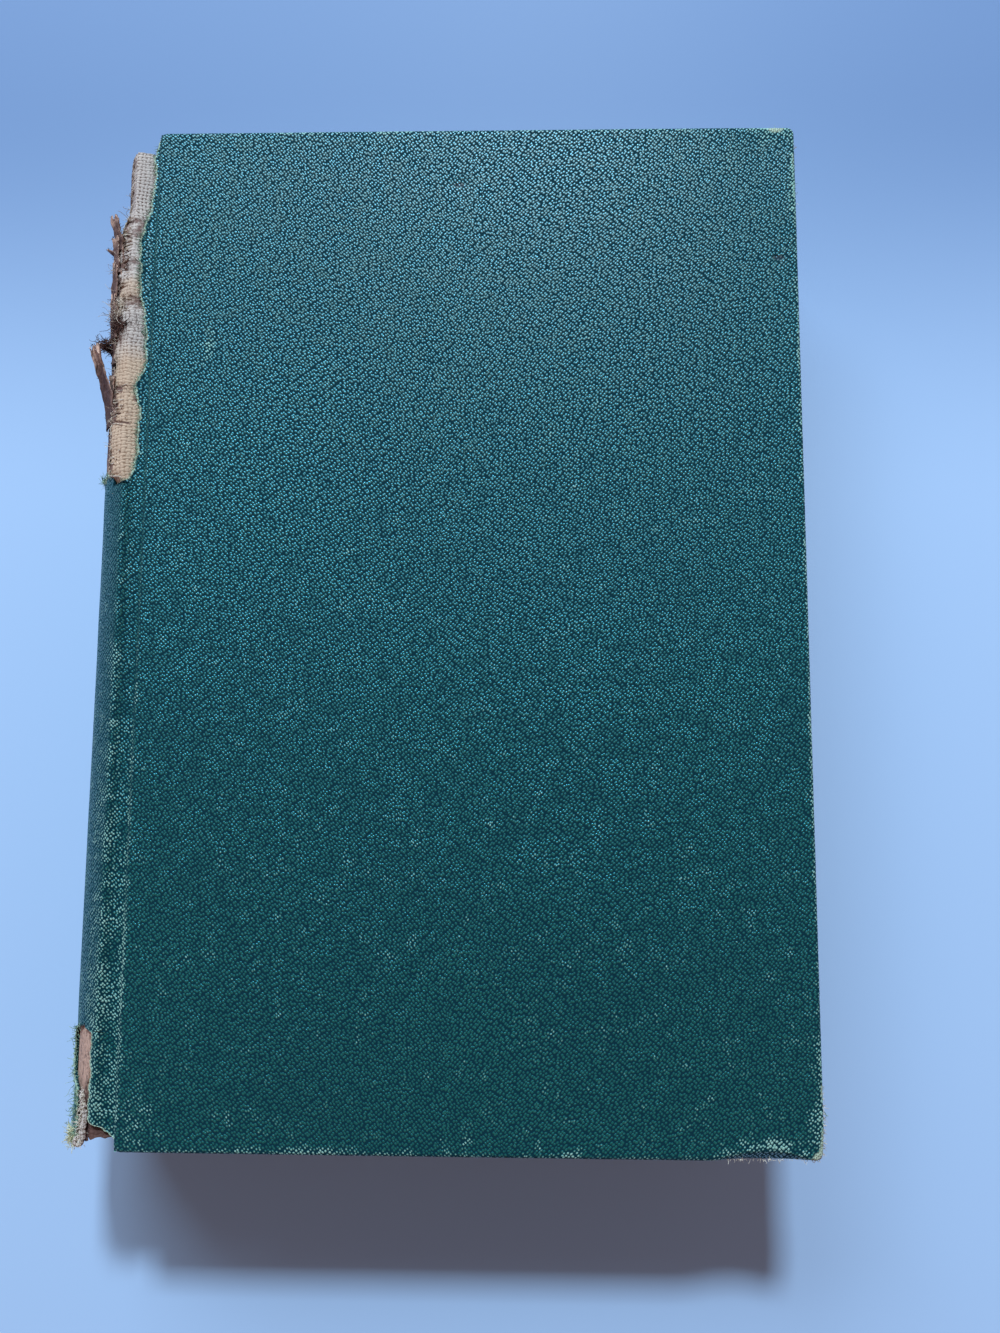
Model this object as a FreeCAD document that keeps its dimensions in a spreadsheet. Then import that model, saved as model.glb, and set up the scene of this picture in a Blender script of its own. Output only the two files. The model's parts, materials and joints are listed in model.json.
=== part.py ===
# A worn hardback book lying closed on its back cover, spine to -X, head to +Y, front cover up.
# All pieces are drawn in the case's own measure: X from the outermost line of the spine towards the
# fore-edge, Y from the tail to the head, Z from the table up. Each piece is then placed so that the
# row's origin is the middle of the case's footprint. Millimetres.
import FreeCAD, Part
import os
import Sketcher
from math import atan2, sqrt

V = FreeCAD.Vector
doc = FreeCAD.newDocument("hardback_book")

# Driving sizes
SIZES = {
    # boards, and the cloth that wraps them
    "board_width": 143.0,
    "board_height": 221.5,
    "board_thick": 2.5,
    "board_corner": 2.3,
    "cloth_thick": 0.5,
    "cloth_bevel": 0.7,
    "hinge_corner": 1.5,
    "turn_in": 15.0,
    # pasted and free endpapers
    "paste_thick": 0.15,
    "paste_border": 4.0,
    "flyleaf_thick": 0.15,
    "closing_gap": 0.2,
    # sewn text block
    "block_thick": 30.0,
    "square": 3.0,
    "shoulder_setback": 5.3,
    "shoulder_rise": 1.2,
    "shoulder_run": 3.8,
    "block_rounding": 5.7,
    "fore_hollow": 4.0,
    # linings glued on the block's spine
    "mull_thick": 0.3,
    "lining_thick": 0.3,
    "lining_width": 28.3,
    "lining_end": 1.5,
    # hollow spine of the case
    "hollow_gap": 2.0,
    "strip_thick": 0.6,
    "strip_margin": 2.4,
    "strip_end": 1.2,
    # hinge line of each cover: spinewards of the board, and below the cover's face
    "hinge_setback": 5.02,
    "hinge_drop": 1.45,
    "hinge_slit": 0.7,
    # groove of each joint
    "groove_radius": 1.3,
    # the curled tongue torn from the spine strip
    "tongue_foot": 38.0,
    "tongue_reach": 5.0,
    "tongue_radius": 3.4,
    "tongue_low": 160.0,
    "tongue_width": 12.0,
    # bumped tail corner at the fore-edge
    "worn_corner_width": 2.6,
    "worn_corner_height": 5.4,
    "worn_corner_bite": 0.9,
    # reach of each tear
    "cloth_tear": 81.5,
    "joint_tear": 4.6,
    "strip_tear": 25.5,
    "lining_tear": 62.0,
    "mull_fray": 6.0,
    "tail_tear": 5.4,
    "tail_split": 24.6,
}

sheet = doc.addObject("Spreadsheet::Sheet", "Sizes")
for row, (alias, number) in enumerate(SIZES.items(), start=1):
    sheet.set(f"A{row}", alias)
    sheet.set(f"B{row}", str(number))
    sheet.setAlias(f"B{row}", alias)
doc.recompute()


def size(alias):
    return f"Sizes.{alias}"


def value(expression):
    return float(sheet.evalExpression(expression))


# Places worked out from the sizes, as expressions
cloth = size("cloth_thick")
cover_width = f"({size('board_width')} + 2 * {cloth})"
cover_height = f"({size('board_height')} + 2 * {cloth})"
hinge_face = (
    f"({cloth} + {size('strip_thick')} + {size('hollow_gap')} + {size('lining_thick')}"
    f" + {size('mull_thick')} + {size('block_rounding')} + {size('shoulder_setback')})"
)
fore_edge = f"({hinge_face} + {cover_width})"

board_depth = cloth
turn_in_depth = f"({cloth} + {size('board_thick')})"
paste_depth = f"({turn_in_depth} + {cloth})"
flyleaf_depth = f"({paste_depth} + {size('paste_thick')} + {size('closing_gap')})"
block_depth = f"({flyleaf_depth} + {size('flyleaf_thick')})"
book_thick = f"(2 * {block_depth} + {size('block_thick')})"
middle = f"({book_thick} / 2)"

block_tail = size("square")
block_height = f"({cover_height} - 2 * {size('square')})"
block_fore = f"({fore_edge} - {size('square')})"
shoulder = f"({hinge_face} - {size('shoulder_setback')})"
shoulder_foot = f"({shoulder} + {size('shoulder_run')})"
shoulder_depth = f"({block_depth} - {size('shoulder_rise')})"
half_shoulder = f"({middle} - {shoulder_depth})"
block_radius = (
    f"(({half_shoulder} ^ 2 + {size('block_rounding')} ^ 2) / (2 * {size('block_rounding')}))"
)
block_centre = f"({shoulder} - {size('block_rounding')} + {block_radius})"
fore_radius = (
    f"((({size('block_thick')} / 2) ^ 2 + {size('fore_hollow')} ^ 2) / (2 * {size('fore_hollow')}))"
)

# The spine's arc runs from hinge line to hinge line through the case's outermost line
hinge_depth = size("hinge_drop")
hinge_x = f"({hinge_face} - {size('hinge_setback')})"
half_hinge = f"({middle} - {hinge_depth})"
hinge_bow = f"({hinge_x} - {cloth} / 2)"
hinge_ring = f"(({half_hinge} ^ 2 + {hinge_bow} ^ 2) / (2 * {hinge_bow}))"
hinge_sweep = f"(asin({half_hinge} / {hinge_ring}) / 1 deg)"
spine_radius = f"({hinge_ring} + {cloth} / 2)"
strip_radius = f"({spine_radius} - {cloth})"


def level(side, depth):
    # height above the table of a depth measured inwards from one cover's outer face
    return f"({book_thick} - {depth})" if side == "front" else f"({depth})"


def layer(side, depth, thick):
    # height of the lower face of a layer that starts at a depth below one cover's outer face
    return f"({book_thick} - {depth} - {thick})" if side == "front" else f"({depth})"


# Drawing helpers
def new_body(name):
    body = doc.addObject("PartDesign::Body", name)
    body.Label = name
    body.setExpression("Placement.Base.x", f"-{fore_edge} / 2")
    body.setExpression("Placement.Base.y", f"-{cover_height} / 2")
    return body


def outline(body, name, role, path, lift=None):
    """Closed outline on one of the body's own planes. Each corner is (across, up), or
    (across, up, radius, turn) where the edge that leaves it is an arc: turn is 1 where the
    arc's centre lies to the left of the way drawn, and -1 where it lies to the right."""
    sketch = body.newObject("Sketcher::SketchObject", f"{body.Name}_{name}")
    plane = [item for item in body.Origin.OriginFeatures if item.Role == role][0]
    sketch.AttachmentSupport = [(plane, "")]
    sketch.MapMode = "FlatFace"
    if lift:
        sketch.setExpression("AttachmentOffset.Base.z", lift)
    corners = [V(value(str(corner[0])), value(str(corner[1])), 0) for corner in path]
    starts = []
    ends = []
    for index, corner in enumerate(path):
        here = corners[index]
        there = corners[(index + 1) % len(path)]
        if len(corner) == 2:
            geometry = sketch.addGeometry(Part.LineSegment(here, there))
            starts.append((geometry, 1))
            ends.append((geometry, 2))
            continue
        radius = value(str(corner[2]))
        chord = there.sub(here)
        half = chord.Length / 2
        left = V(-chord.y, chord.x, 0).normalize()
        centre = here + chord * 0.5 + left * (corner[3] * sqrt(max(radius * radius - half * half, 0)))
        first, last = (here, there) if corner[3] > 0 else (there, here)
        angles = [atan2(point.y - centre.y, point.x - centre.x) for point in (first, last)]
        circle = Part.Circle(centre, V(0, 0, 1), radius)
        geometry = sketch.addGeometry(Part.ArcOfCircle(circle, angles[0], angles[1]))
        starts.append((geometry, 1 if corner[3] > 0 else 2))
        ends.append((geometry, 2 if corner[3] > 0 else 1))
    for index, corner in enumerate(path):
        following = (index + 1) % len(path)
        sketch.addConstraint(Sketcher.Constraint("Coincident", *ends[index], *starts[following]))
        for kind, axis, place, number in (
            ("DistanceX", -2, corner[0], corners[index].x),
            ("DistanceY", -1, corner[1], corners[index].y),
        ):
            if abs(number) < 1e-9:
                sketch.addConstraint(Sketcher.Constraint("PointOnObject", *starts[index], axis))
                continue
            bound = sketch.addConstraint(Sketcher.Constraint(kind, -1, 1, *starts[index], number))
            sketch.setExpression(f"Constraints[{bound}]", str(place))
        if len(corner) == 4:
            bound = sketch.addConstraint(
                Sketcher.Constraint("Radius", starts[index][0], value(str(corner[2])))
            )
            sketch.setExpression(f"Constraints[{bound}]", str(corner[2]))
    doc.recompute()
    return sketch


def pad(body, sketch, length, backwards=False):
    feature = body.newObject("PartDesign::Pad", f"{sketch.Name}_pad")
    feature.Profile = sketch
    feature.setExpression("Length", length)
    feature.Reversed = backwards
    feature.Refine = True
    doc.recompute()
    return feature


def pocket(body, sketch, length=None, upwards=False):
    # a pocket of a stated length, or one right through both ways
    before = body.Shape.Volume
    feature = body.newObject("PartDesign::Pocket", f"{sketch.Name}_pocket")
    feature.Profile = sketch
    if length:
        feature.setExpression("Length", length)
        feature.Reversed = upwards
    else:
        feature.Type = "ThroughAll"
        feature.SideType = "Symmetric"
    doc.recompute()
    if not body.Shape.Volume < before:
        raise RuntimeError(f"{feature.Name} cuts nothing")
    return feature


def bevel_edges_at(body, name, height, amount):
    # bevels every edge that lies flat at one height
    edges = [
        f"Edge{number}"
        for number, edge in enumerate(body.Shape.Edges, start=1)
        if abs(edge.BoundBox.ZMin - height) < 1e-4 and abs(edge.BoundBox.ZMax - height) < 1e-4
    ]
    base = body.Tip
    feature = body.newObject("PartDesign::Chamfer", f"{body.Name}_{name}")
    feature.Base = (base, edges)
    feature.setExpression("Size", amount)
    doc.recompute()
    return feature


def rectangle(left, low, right, high):
    return [(left, low), (right, low), (right, high), (left, high)]


def sheet_outline(inset, hinge_radius, fore_radius_here):
    # the cover's plan, inset all round, with its own corner radii at the hinge and the fore-edge
    left = f"({hinge_face} + {inset})"
    right = f"({fore_edge} - {inset})"
    low = f"({inset})"
    high = f"({cover_height} - {inset})"
    near, far = hinge_radius, fore_radius_here
    return [
        (f"{left} + {near}", low),
        (f"{right} - {far}", low, far, 1),
        (right, f"{low} + {far}"),
        (right, f"{high} - {far}", far, 1),
        (f"{right} - {far}", high),
        (f"{left} + {near}", high, near, 1),
        (left, f"{high} - {near}"),
        (left, f"{low} + {near}", near, 1),
    ]


def from_head(share, reach):
    # height above the tail of a point that lies a share of a tear's reach below the head
    return f"{cover_height} - {share} * {reach}"


def round_spine(angle):
    # height above the table of a point of the spine, by its angle above the middle
    return f"{middle} + {spine_radius} * sin({angle})"


# The text block: rounded and backed spine, shoulders for the boards, hollow fore-edge
def make_text_block():
    body = new_body("text_block")
    path = [
        (shoulder, level("back", shoulder_depth)),
        (shoulder_foot, level("back", block_depth)),
        (block_fore, level("back", block_depth), fore_radius, -1),
        (block_fore, level("front", block_depth)),
        (shoulder_foot, level("front", block_depth)),
        (shoulder, level("front", shoulder_depth), block_radius, 1),
    ]
    pad(body, outline(body, "section", "XZ_Plane", path, f"-{block_tail}"), block_height, True)
    return body


# The mull: open cotton cloth glued round the block's spine and over both shoulders
def make_mull():
    body = new_body("mull")
    thick = size("mull_thick")
    outer_radius = f"({block_radius} + {thick})"
    reach = f"sqrt({outer_radius} ^ 2 - ({block_centre} - {shoulder}) ^ 2)"
    path = [
        (shoulder_foot, f"{middle} + {size('block_thick')} / 2"),
        (shoulder_foot, f"{middle} + {size('block_thick')} / 2 + {thick}"),
        (shoulder, f"{middle} + {reach}", outer_radius, 1),
        (shoulder, f"{middle} - {reach}"),
        (shoulder_foot, f"{middle} - {size('block_thick')} / 2 - {thick}"),
        (shoulder_foot, f"{middle} - {size('block_thick')} / 2"),
        (shoulder, f"{middle} - {half_shoulder}", block_radius, -1),
        (shoulder, f"{middle} + {half_shoulder}"),
    ]
    pad(body, outline(body, "section", "XZ_Plane", path, f"-{block_tail}"), block_height, True)
    back = size("shoulder_setback")
    torn = [
        (f"{hinge_face} - {left} * {back}", from_head(drop, size("mull_fray")))
        for left, drop in TORN_MULL
    ]
    plan = outline(body, "torn_head", "XY_Plane", torn, middle)
    pocket(body, plan, middle, True)
    return body


def arc_sheet(inner, outer, centre, sweep):
    # section of a sheet bent round a centre line at mid-thickness of the book, open towards +X
    ends = [
        (f"{centre} - {radius} * cos({sweep})", f"{middle} {sign} {radius} * sin({sweep})")
        for radius, sign in ((outer, "+"), (outer, "-"), (inner, "-"), (inner, "+"))
    ]
    return [(*ends[0], outer, 1), ends[1], (*ends[2], inner, -1), ends[3]]


# Brown paper lining, glued on the mull down the middle of the spine, its head torn away
def make_spine_lining():
    body = new_body("spine_lining")
    inner = f"({block_radius} + {size('mull_thick')})"
    sweep = f"({size('lining_width')} / 2 / {inner} * 180 / pi)"
    path = arc_sheet(inner, f"({inner} + {size('lining_thick')})", block_centre, sweep)
    low = f"({block_tail} + {size('lining_end')})"
    sketch = outline(body, "section", "XZ_Plane", path, f"-{low}")
    pad(body, sketch, f"{block_height} - 2 * {size('lining_end')}", True)
    cut_across_spine(body, TORN_LINING, size("lining_tear"))
    return body


def cut_across_spine(body, torn, reach):
    # tears away everything headwards of a line given from the front joint round to the back joint
    path = [(from_head(drop, reach), round_spine(angle)) for angle, drop in torn]
    path.append((f"{cover_height} + 1", round_spine(torn[-1][0])))
    path.append((f"{cover_height} + 1", round_spine(torn[0][0])))
    pocket(body, outline(body, "torn_head", "YZ_Plane", path))


# Card strip that stiffens the hollow back, torn at the head, with one tongue curled outwards
def make_spine_strip():
    body = new_body("spine_strip")
    outer = strip_radius
    inner = f"({outer} - {size('strip_thick')})"
    sweep = f"({hinge_sweep} - {size('strip_margin')} / {outer} * 180 / pi)"
    path = arc_sheet(inner, outer, spine_radius, sweep)
    low = size("strip_end")
    sketch = outline(body, "section", "XZ_Plane", path, f"-{low}")
    pad(body, sketch, f"{cover_height} - 2 * {low}", True)
    cut_across_spine(body, TORN_STRIP, size("strip_tear"))
    hole = [(from_head(drop, size("cloth_tear")), round_spine(angle)) for angle, drop in STRIP_EDGE]
    pocket(body, outline(body, "torn_front_edge", "YZ_Plane", hole))
    foot = size("tongue_foot")
    curl = size("tongue_radius")
    thick = size("strip_thick")
    rim = f"({spine_radius} - {outer} * cos({foot}))"
    rise = f"({middle} + {outer} * sin({foot}))"
    tongue = [
        (f"{rim} + {thick} / 2", f"{rise} - {thick} / 2", f"{curl} + {thick}", 1),
        (f"{rim} - {size('tongue_reach')}", f"{rise} - {thick}"),
        (f"{rim} - {size('tongue_reach')} + {thick}", f"{rise} - {thick}", curl, -1),
        (f"{rim} - {thick} / 2", f"{rise} - {thick}"),
    ]
    sketch = outline(body, "tongue", "XZ_Plane", tongue, f"-{size('tongue_low')}")
    pad(body, sketch, size("tongue_width"), True)
    return body


# Spine part of the covering cloth: its head is torn off, its tail is split and frayed
def make_spine_cloth():
    body = new_body("spine_cloth")
    sweep = f"({hinge_sweep} - {size('hinge_slit')} / {spine_radius} * 180 / pi)"
    path = arc_sheet(strip_radius, spine_radius, spine_radius, sweep)
    pad(body, outline(body, "section", "XZ_Plane", path), cover_height, True)
    cut_across_spine(body, TORN_SPINE, size("cloth_tear"))
    for name, torn in (("split_tail", SPLIT_TAIL), ("ragged_tail", RAGGED_TAIL)):
        path = [(f"{rise} * {size('tail_split')}", round_spine(angle)) for angle, rise in torn]
        pocket(body, outline(body, name, "YZ_Plane", path))
    return body


# Greyboard of one cover
def make_board(side):
    body = new_body(f"{side}_board")
    path = sheet_outline(cloth, f"({size('hinge_corner')} - {cloth})", size("board_corner"))
    sketch = outline(body, "plan", "XY_Plane", path, layer(side, board_depth, size("board_thick")))
    pad(body, sketch, size("board_thick"))
    return body


# Cloth of one cover: wrapped over the board, turned in on three sides, pressed into the joint
def make_cover_cloth(side):
    body = new_body(f"{side}_cloth")
    path = sheet_outline("0", size("hinge_corner"), f"({size('board_corner')} + {cloth})")
    sketch = outline(body, "plan", "XY_Plane", path, layer(side, "0", paste_depth))
    pad(body, sketch, paste_depth)
    bevel_edges_at(body, "folded_edge", value(level(side, "0")), size("cloth_bevel"))

    # room for the board, and the window that the turn-ins leave
    path = sheet_outline(cloth, f"({size('hinge_corner')} - {cloth})", size("board_corner"))
    low = layer(side, board_depth, size("board_thick"))
    pocket(body, outline(body, "board_room", "XY_Plane", path, low), size("board_thick"), True)
    path = rectangle(
        f"{hinge_face} - 1",
        size("turn_in"),
        f"{fore_edge} - {size('turn_in')}",
        f"{cover_height} - {size('turn_in')}",
    )
    low = layer(side, turn_in_depth, cloth)
    pocket(body, outline(body, "window", "XY_Plane", path, low), cloth, True)

    # the joint: down the board's hinge face, along the groove and up to the hinge line
    turn = 1 if side == "front" else -1
    groove = size("groove_radius")
    bottom = size("board_thick")
    centre = f"({hinge_face} - {groove})"
    end_x = f"({hinge_x} + {size('hinge_slit')})"
    run = f"({centre} - {end_x})"
    rise = f"({bottom} - {hinge_depth})"
    sweep = f"(({run} ^ 2 + {rise} ^ 2) / (2 * {rise}))"
    inner = f"({sweep} + {cloth})"
    path = [
        (hinge_face, level(side, f"({bottom} - {groove})"), groove, -turn),
        (centre, level(side, bottom), sweep, -turn),
        (end_x, level(side, hinge_depth)),
        (
            f"{centre} - {inner} * {run} / {sweep}",
            level(side, f"({bottom} - {sweep} + {inner} * ({sweep} - {rise}) / {sweep})"),
            inner,
            turn,
        ),
        (centre, level(side, turn_in_depth)),
        (f"{hinge_face} + {cloth}", level(side, turn_in_depth)),
        (f"{hinge_face} + {cloth}", level(side, f"({bottom} - {groove})")),
    ]
    pad(body, outline(body, "joint", "XZ_Plane", path), cover_height, True)
    return body


def tear_front_cloth(body):
    width = size("joint_tear")
    torn = [
        (f"{hinge_face} - {left} * {width}", from_head(drop, size("cloth_tear")))
        for left, drop in TORN_JOINT
    ]
    plan = outline(body, "torn_joint", "XY_Plane", torn, middle)
    pocket(body, plan, middle, True)
    reach = size("tail_tear")
    torn = [(f"{hinge_face} - {left} * {reach}", f"{rise} * {reach}") for left, rise in TAIL_OF_JOINT]
    pocket(body, outline(body, "torn_joint_tail", "XY_Plane", torn, middle), middle, True)
    worn = [
        (f"{fore_edge} - {size('worn_corner_width')}", "-1"),
        (f"{fore_edge} + 1", "-1"),
        (f"{fore_edge} + 1", size("worn_corner_height")),
        (f"{fore_edge} - {size('worn_corner_bite')}", f"{size('worn_corner_height')} * 0.8"),
        (f"{fore_edge} - {size('worn_corner_width')}", f"{size('worn_corner_bite')} * 1.2"),
    ]
    plan = outline(body, "worn_corner", "XY_Plane", worn, layer("front", "0", turn_in_depth))
    pocket(body, plan, turn_in_depth, True)


# Endpaper half pasted inside one cover: flat on the board, stepping up over the turn-ins
def make_pastedown(side):
    body = new_body(f"{side}_pastedown")
    thick = size("paste_thick")
    border = size("paste_border")
    turn_in = size("turn_in")
    left = f"({hinge_face} + {cloth})"
    path = rectangle(left, border, f"{fore_edge} - {border}", f"{cover_height} - {border}")
    pad(body, outline(body, "margin", "XY_Plane", path, layer(side, paste_depth, thick)), thick)
    path = rectangle(left, turn_in, f"{fore_edge} - {turn_in}", f"{cover_height} - {turn_in}")
    low = layer(side, turn_in_depth, f"({cloth} + {thick})")
    pad(body, outline(body, "field", "XY_Plane", path, low), f"({cloth} + {thick})")
    path = rectangle(
        f"{left} - 1",
        f"{turn_in} + {thick}",
        f"{fore_edge} - {turn_in} - {thick}",
        f"{cover_height} - {turn_in} - {thick}",
    )
    low = layer(side, f"({turn_in_depth} + {thick})", cloth)
    pocket(body, outline(body, "field_inside", "XY_Plane", path, low), cloth, True)
    return body


# Free endpaper, tipped to the block along the joint
def make_flyleaf(side):
    body = new_body(f"{side}_flyleaf")
    path = rectangle(shoulder_foot, block_tail, block_fore, f"{block_tail} + {block_height}")
    sketch = outline(
        body, "plan", "XY_Plane", path, layer(side, flyleaf_depth, size("flyleaf_thick"))
    )
    pad(body, sketch, size("flyleaf_thick"))
    return body


# Torn outlines, chosen by hand as shares of each tear's own reach.
# Front joint, from the head down: share of the tear's width, share of its length
TORN_JOINT = [
    (0.04, -0.01),
    (0.35, 0.055),
    (0.33, 0.13),
    (0.50, 0.20),
    (0.74, 0.27),
    (0.93, 0.31),
    (0.85, 0.39),
    (0.65, 0.485),
    (0.46, 0.57),
    (0.35, 0.656),
    (0.67, 0.706),
    (0.91, 0.742),
    (0.61, 0.828),
    (0.46, 0.908),
    (0.72, 0.957),
    (1.00, 1.0),
    (1.70, 1.0),
    (1.70, -0.01),
]
# Front joint at the tail: shares of the tear's reach spinewards of the board and above the tail
TAIL_OF_JOINT = [(0.06, -0.1), (0.06, 0.41), (0.37, 0.54), (0.63, 0.78), (1.48, 1.0), (1.48, -0.1)]
# Head of the mull over the front shoulder: shares of the shoulder's setback and of the fray
TORN_MULL = [
    (2.45, -0.1),
    (2.45, 1.0),
    (1.51, 0.8),
    (1.02, 0.7),
    (0.68, 0.57),
    (0.19, 0.63),
    (0.19, -0.1),
]
# Round the spine: angle above the middle, share of the tear's reach from the head
TORN_SPINE = [
    (70, 1.0),
    (54, 1.006),
    (41, 0.987),
    (28, 0.977),
    (16.5, 0.96),
    (2.5, 0.974),
    (-11, 0.933),
    (-25, 0.877),
    (-37.5, 0.822),
    (-70, 0.773),
]
TORN_STRIP = [
    (70, 1.0),
    (39.5, 0.98),
    (35.5, 0.69),
    (28, 0.635),
    (20.5, 0.68),
    (5.5, 0.82),
    (-11, 0.745),
    (-25, 0.96),
    (-37.5, 1.22),
    (-70, 1.29),
]
TORN_LINING = [(48.5, 1.0), (32.5, 0.97), (25, 0.84), (13.5, 0.77), (0, 0.66), (-16.5, 0.61), (-48.5, 0.48)]
# Front edge of the strip where the cloth is gone: angle, share of the cloth's tear from the head
STRIP_EDGE = [
    (70, 0.94),
    (43.5, 0.94),
    (39, 0.865),
    (40.5, 0.767),
    (37.5, 0.669),
    (41.5, 0.571),
    (39.5, 0.448),
    (40.5, 0.35),
    (42, 0.288),
    (70, 0.288),
]
# Spine cloth at the tail: angle, share of the split's length above the tail
SPLIT_TAIL = [
    (42, -0.04),
    (39.5, 0.2),
    (40.5, 0.47),
    (32.5, 0.51),
    (24, 0.61),
    (21, 0.77),
    (27, 0.955),
    (36.5, 1.0),
    (47, 0.94),
    (45.5, 0.73),
    (49.5, 0.52),
    (51.5, 0.24),
    (52.5, -0.04),
]
RAGGED_TAIL = [(41, -0.04), (52, 0.22), (70, 0.187), (70, -0.04)]

pieces = [make_text_block(), make_mull(), make_spine_lining(), make_spine_strip(), make_spine_cloth()]
for cover_side in ("front", "back"):
    pieces.append(make_board(cover_side))
    pieces.append(make_cover_cloth(cover_side))
    pieces.append(make_pastedown(cover_side))
    pieces.append(make_flyleaf(cover_side))
tear_front_cloth(doc.getObject("front_cloth"))
doc.recompute()

for item in doc.Objects:
    if "Invalid" in item.State or "Error" in item.State:
        raise RuntimeError(f"{item.Name} failed: {item.State}")
for piece in pieces:
    if piece.Shape.isNull() or not piece.Shape.isValid():
        raise RuntimeError(f"{piece.Label} has no valid shape")
    if len(piece.Shape.Solids) != 1:
        raise RuntimeError(f"{piece.Label} has {len(piece.Shape.Solids)} solids")

os.makedirs("parts", exist_ok=True)
for piece in pieces:
    piece.Shape.exportStep(f"parts/{piece.Label}.step")

print("thickness", round(value(book_thick), 3))
print("hinge line", round(value(f"{hinge_x} - {fore_edge} / 2"), 4), round(value(hinge_depth), 4))
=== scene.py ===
import json
from math import pi, radians

import bpy
import numpy as np
from mathutils import Matrix, Vector


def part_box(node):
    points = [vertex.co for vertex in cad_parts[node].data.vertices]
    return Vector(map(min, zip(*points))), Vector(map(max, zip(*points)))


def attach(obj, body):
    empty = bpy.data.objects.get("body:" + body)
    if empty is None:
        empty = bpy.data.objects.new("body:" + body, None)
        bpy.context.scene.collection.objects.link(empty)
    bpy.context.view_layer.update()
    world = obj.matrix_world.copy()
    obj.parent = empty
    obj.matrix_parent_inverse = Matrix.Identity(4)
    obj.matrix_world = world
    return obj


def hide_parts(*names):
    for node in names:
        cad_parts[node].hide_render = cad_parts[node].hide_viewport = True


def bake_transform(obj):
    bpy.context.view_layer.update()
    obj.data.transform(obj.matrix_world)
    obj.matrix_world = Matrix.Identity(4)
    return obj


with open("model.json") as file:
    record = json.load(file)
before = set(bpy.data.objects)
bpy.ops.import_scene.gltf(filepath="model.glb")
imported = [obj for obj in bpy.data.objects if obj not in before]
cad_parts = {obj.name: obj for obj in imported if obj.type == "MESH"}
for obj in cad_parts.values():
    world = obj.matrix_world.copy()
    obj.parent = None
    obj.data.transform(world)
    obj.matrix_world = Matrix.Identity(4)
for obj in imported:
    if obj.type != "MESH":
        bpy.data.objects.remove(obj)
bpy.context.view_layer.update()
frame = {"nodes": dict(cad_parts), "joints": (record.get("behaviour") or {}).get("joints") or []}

# Shapes are worked out in millimetres and put into the meshes in metres
MM = 0.001


def box_of(node):
    low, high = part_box(node)
    return np.array(low) / MM, np.array(high) / MM


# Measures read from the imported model
COVER_LOW, COVER_HIGH = box_of("front_cloth")
BOARD_LOW, BOARD_HIGH = box_of("front_board")
BLOCK_LOW, BLOCK_HIGH = box_of("text_block")
STRIP_LOW, SPINE_LOW = box_of("spine_strip")[0], box_of("spine_cloth")[0]
MULL_LOW, MULL_HIGH = box_of("mull")
JOINT_AT = {joint["name"]: np.array(joint["pos_m"]) / MM for joint in frame["joints"]}

THICK = COVER_HIGH[2]
MIDDLE = THICK / 2
CLOTH = THICK - BOARD_HIGH[2]
BOARD = BOARD_HIGH[2] - BOARD_LOW[2]
WRAP = 2 * CLOTH + BOARD
HINGE_FACE = BOARD_LOW[0] - CLOTH
FORE_EDGE = COVER_HIGH[0]
TAIL, HEAD = COVER_LOW[1], COVER_HIGH[1]
HINGE_X, HINGE_DROP = JOINT_AT["front_hinge"][0], THICK - JOINT_AT["front_hinge"][2]

# Random relief, the same on every run. The tables repeat after this many cells
LATTICE_ROWS, LATTICE_COLUMNS = 61, 67
LINE_CELLS = 4001


def smooth_noise(across, along, cell, seed):
    """Heights from 0 to 1: seeded random numbers on a square lattice of one cell size, joined by
    the curve 3t^2 - 2t^3 across each cell."""
    table = np.random.default_rng(seed).random((LATTICE_ROWS, LATTICE_COLUMNS))
    u, v = np.asarray(across) / cell + 1000.0, np.asarray(along) / cell + 1000.0
    i, j = np.floor(u).astype(int), np.floor(v).astype(int)
    s, t = u - i, v - j
    s, t = s * s * (3 - 2 * s), t * t * (3 - 2 * t)
    corner = [
        table[(i + a) % LATTICE_ROWS, (j + b) % LATTICE_COLUMNS]
        for a, b in ((0, 0), (1, 0), (0, 1), (1, 1))
    ]
    low = corner[0] + (corner[1] - corner[0]) * s
    high = corner[2] + (corner[3] - corner[2]) * s
    return low + (high - low) * t


def rough_noise(across, along, cell, seed):
    """Three layers of smooth noise, each half as high and half as wide as the one before."""
    total = sum(
        0.5 ** k * smooth_noise(across, along, cell * 0.5 ** k, seed + k) for k in range(3)
    )
    return total / 1.75


def ragged(along, cell, seed):
    """Values from -1 to 1 along a line: straight runs between seeded random numbers."""
    along = np.asarray(along) / cell + 500.0
    table = np.random.default_rng(seed).uniform(-1, 1, LINE_CELLS)
    step = np.floor(along).astype(int)
    part = along - step
    return table[step % LINE_CELLS] * (1 - part) + table[(step + 1) % LINE_CELLS] * part


def ease(value, start, end):
    """0 before start, 1 after end, and 3t^2 - 2t^3 between."""
    t = np.clip((value - start) / (end - start), 0, 1)
    return t * t * (3 - 2 * t)


def bell(value, middle, width):
    """1 at the middle, falling off as exp(-t^2), with t counted in widths."""
    return np.exp(-(((value - middle) / width) ** 2))


def read_off(value, table):
    """The value carried through a table of (place, value) pairs, straight between its rows."""
    return np.interp(value, *np.array(table).T)


def arc_radius(half, bow):
    """Radius of the arc with that half chord and bow: (half^2 + bow^2) / (2 bow)."""
    return (half ** 2 + bow ** 2) / (2 * bow)


def run_along(path):
    """Length of the path from its first point to each of its points."""
    steps = np.linalg.norm(np.diff(path, axis=0), axis=1)
    return np.concatenate([[0.0], np.cumsum(steps)])


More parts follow.
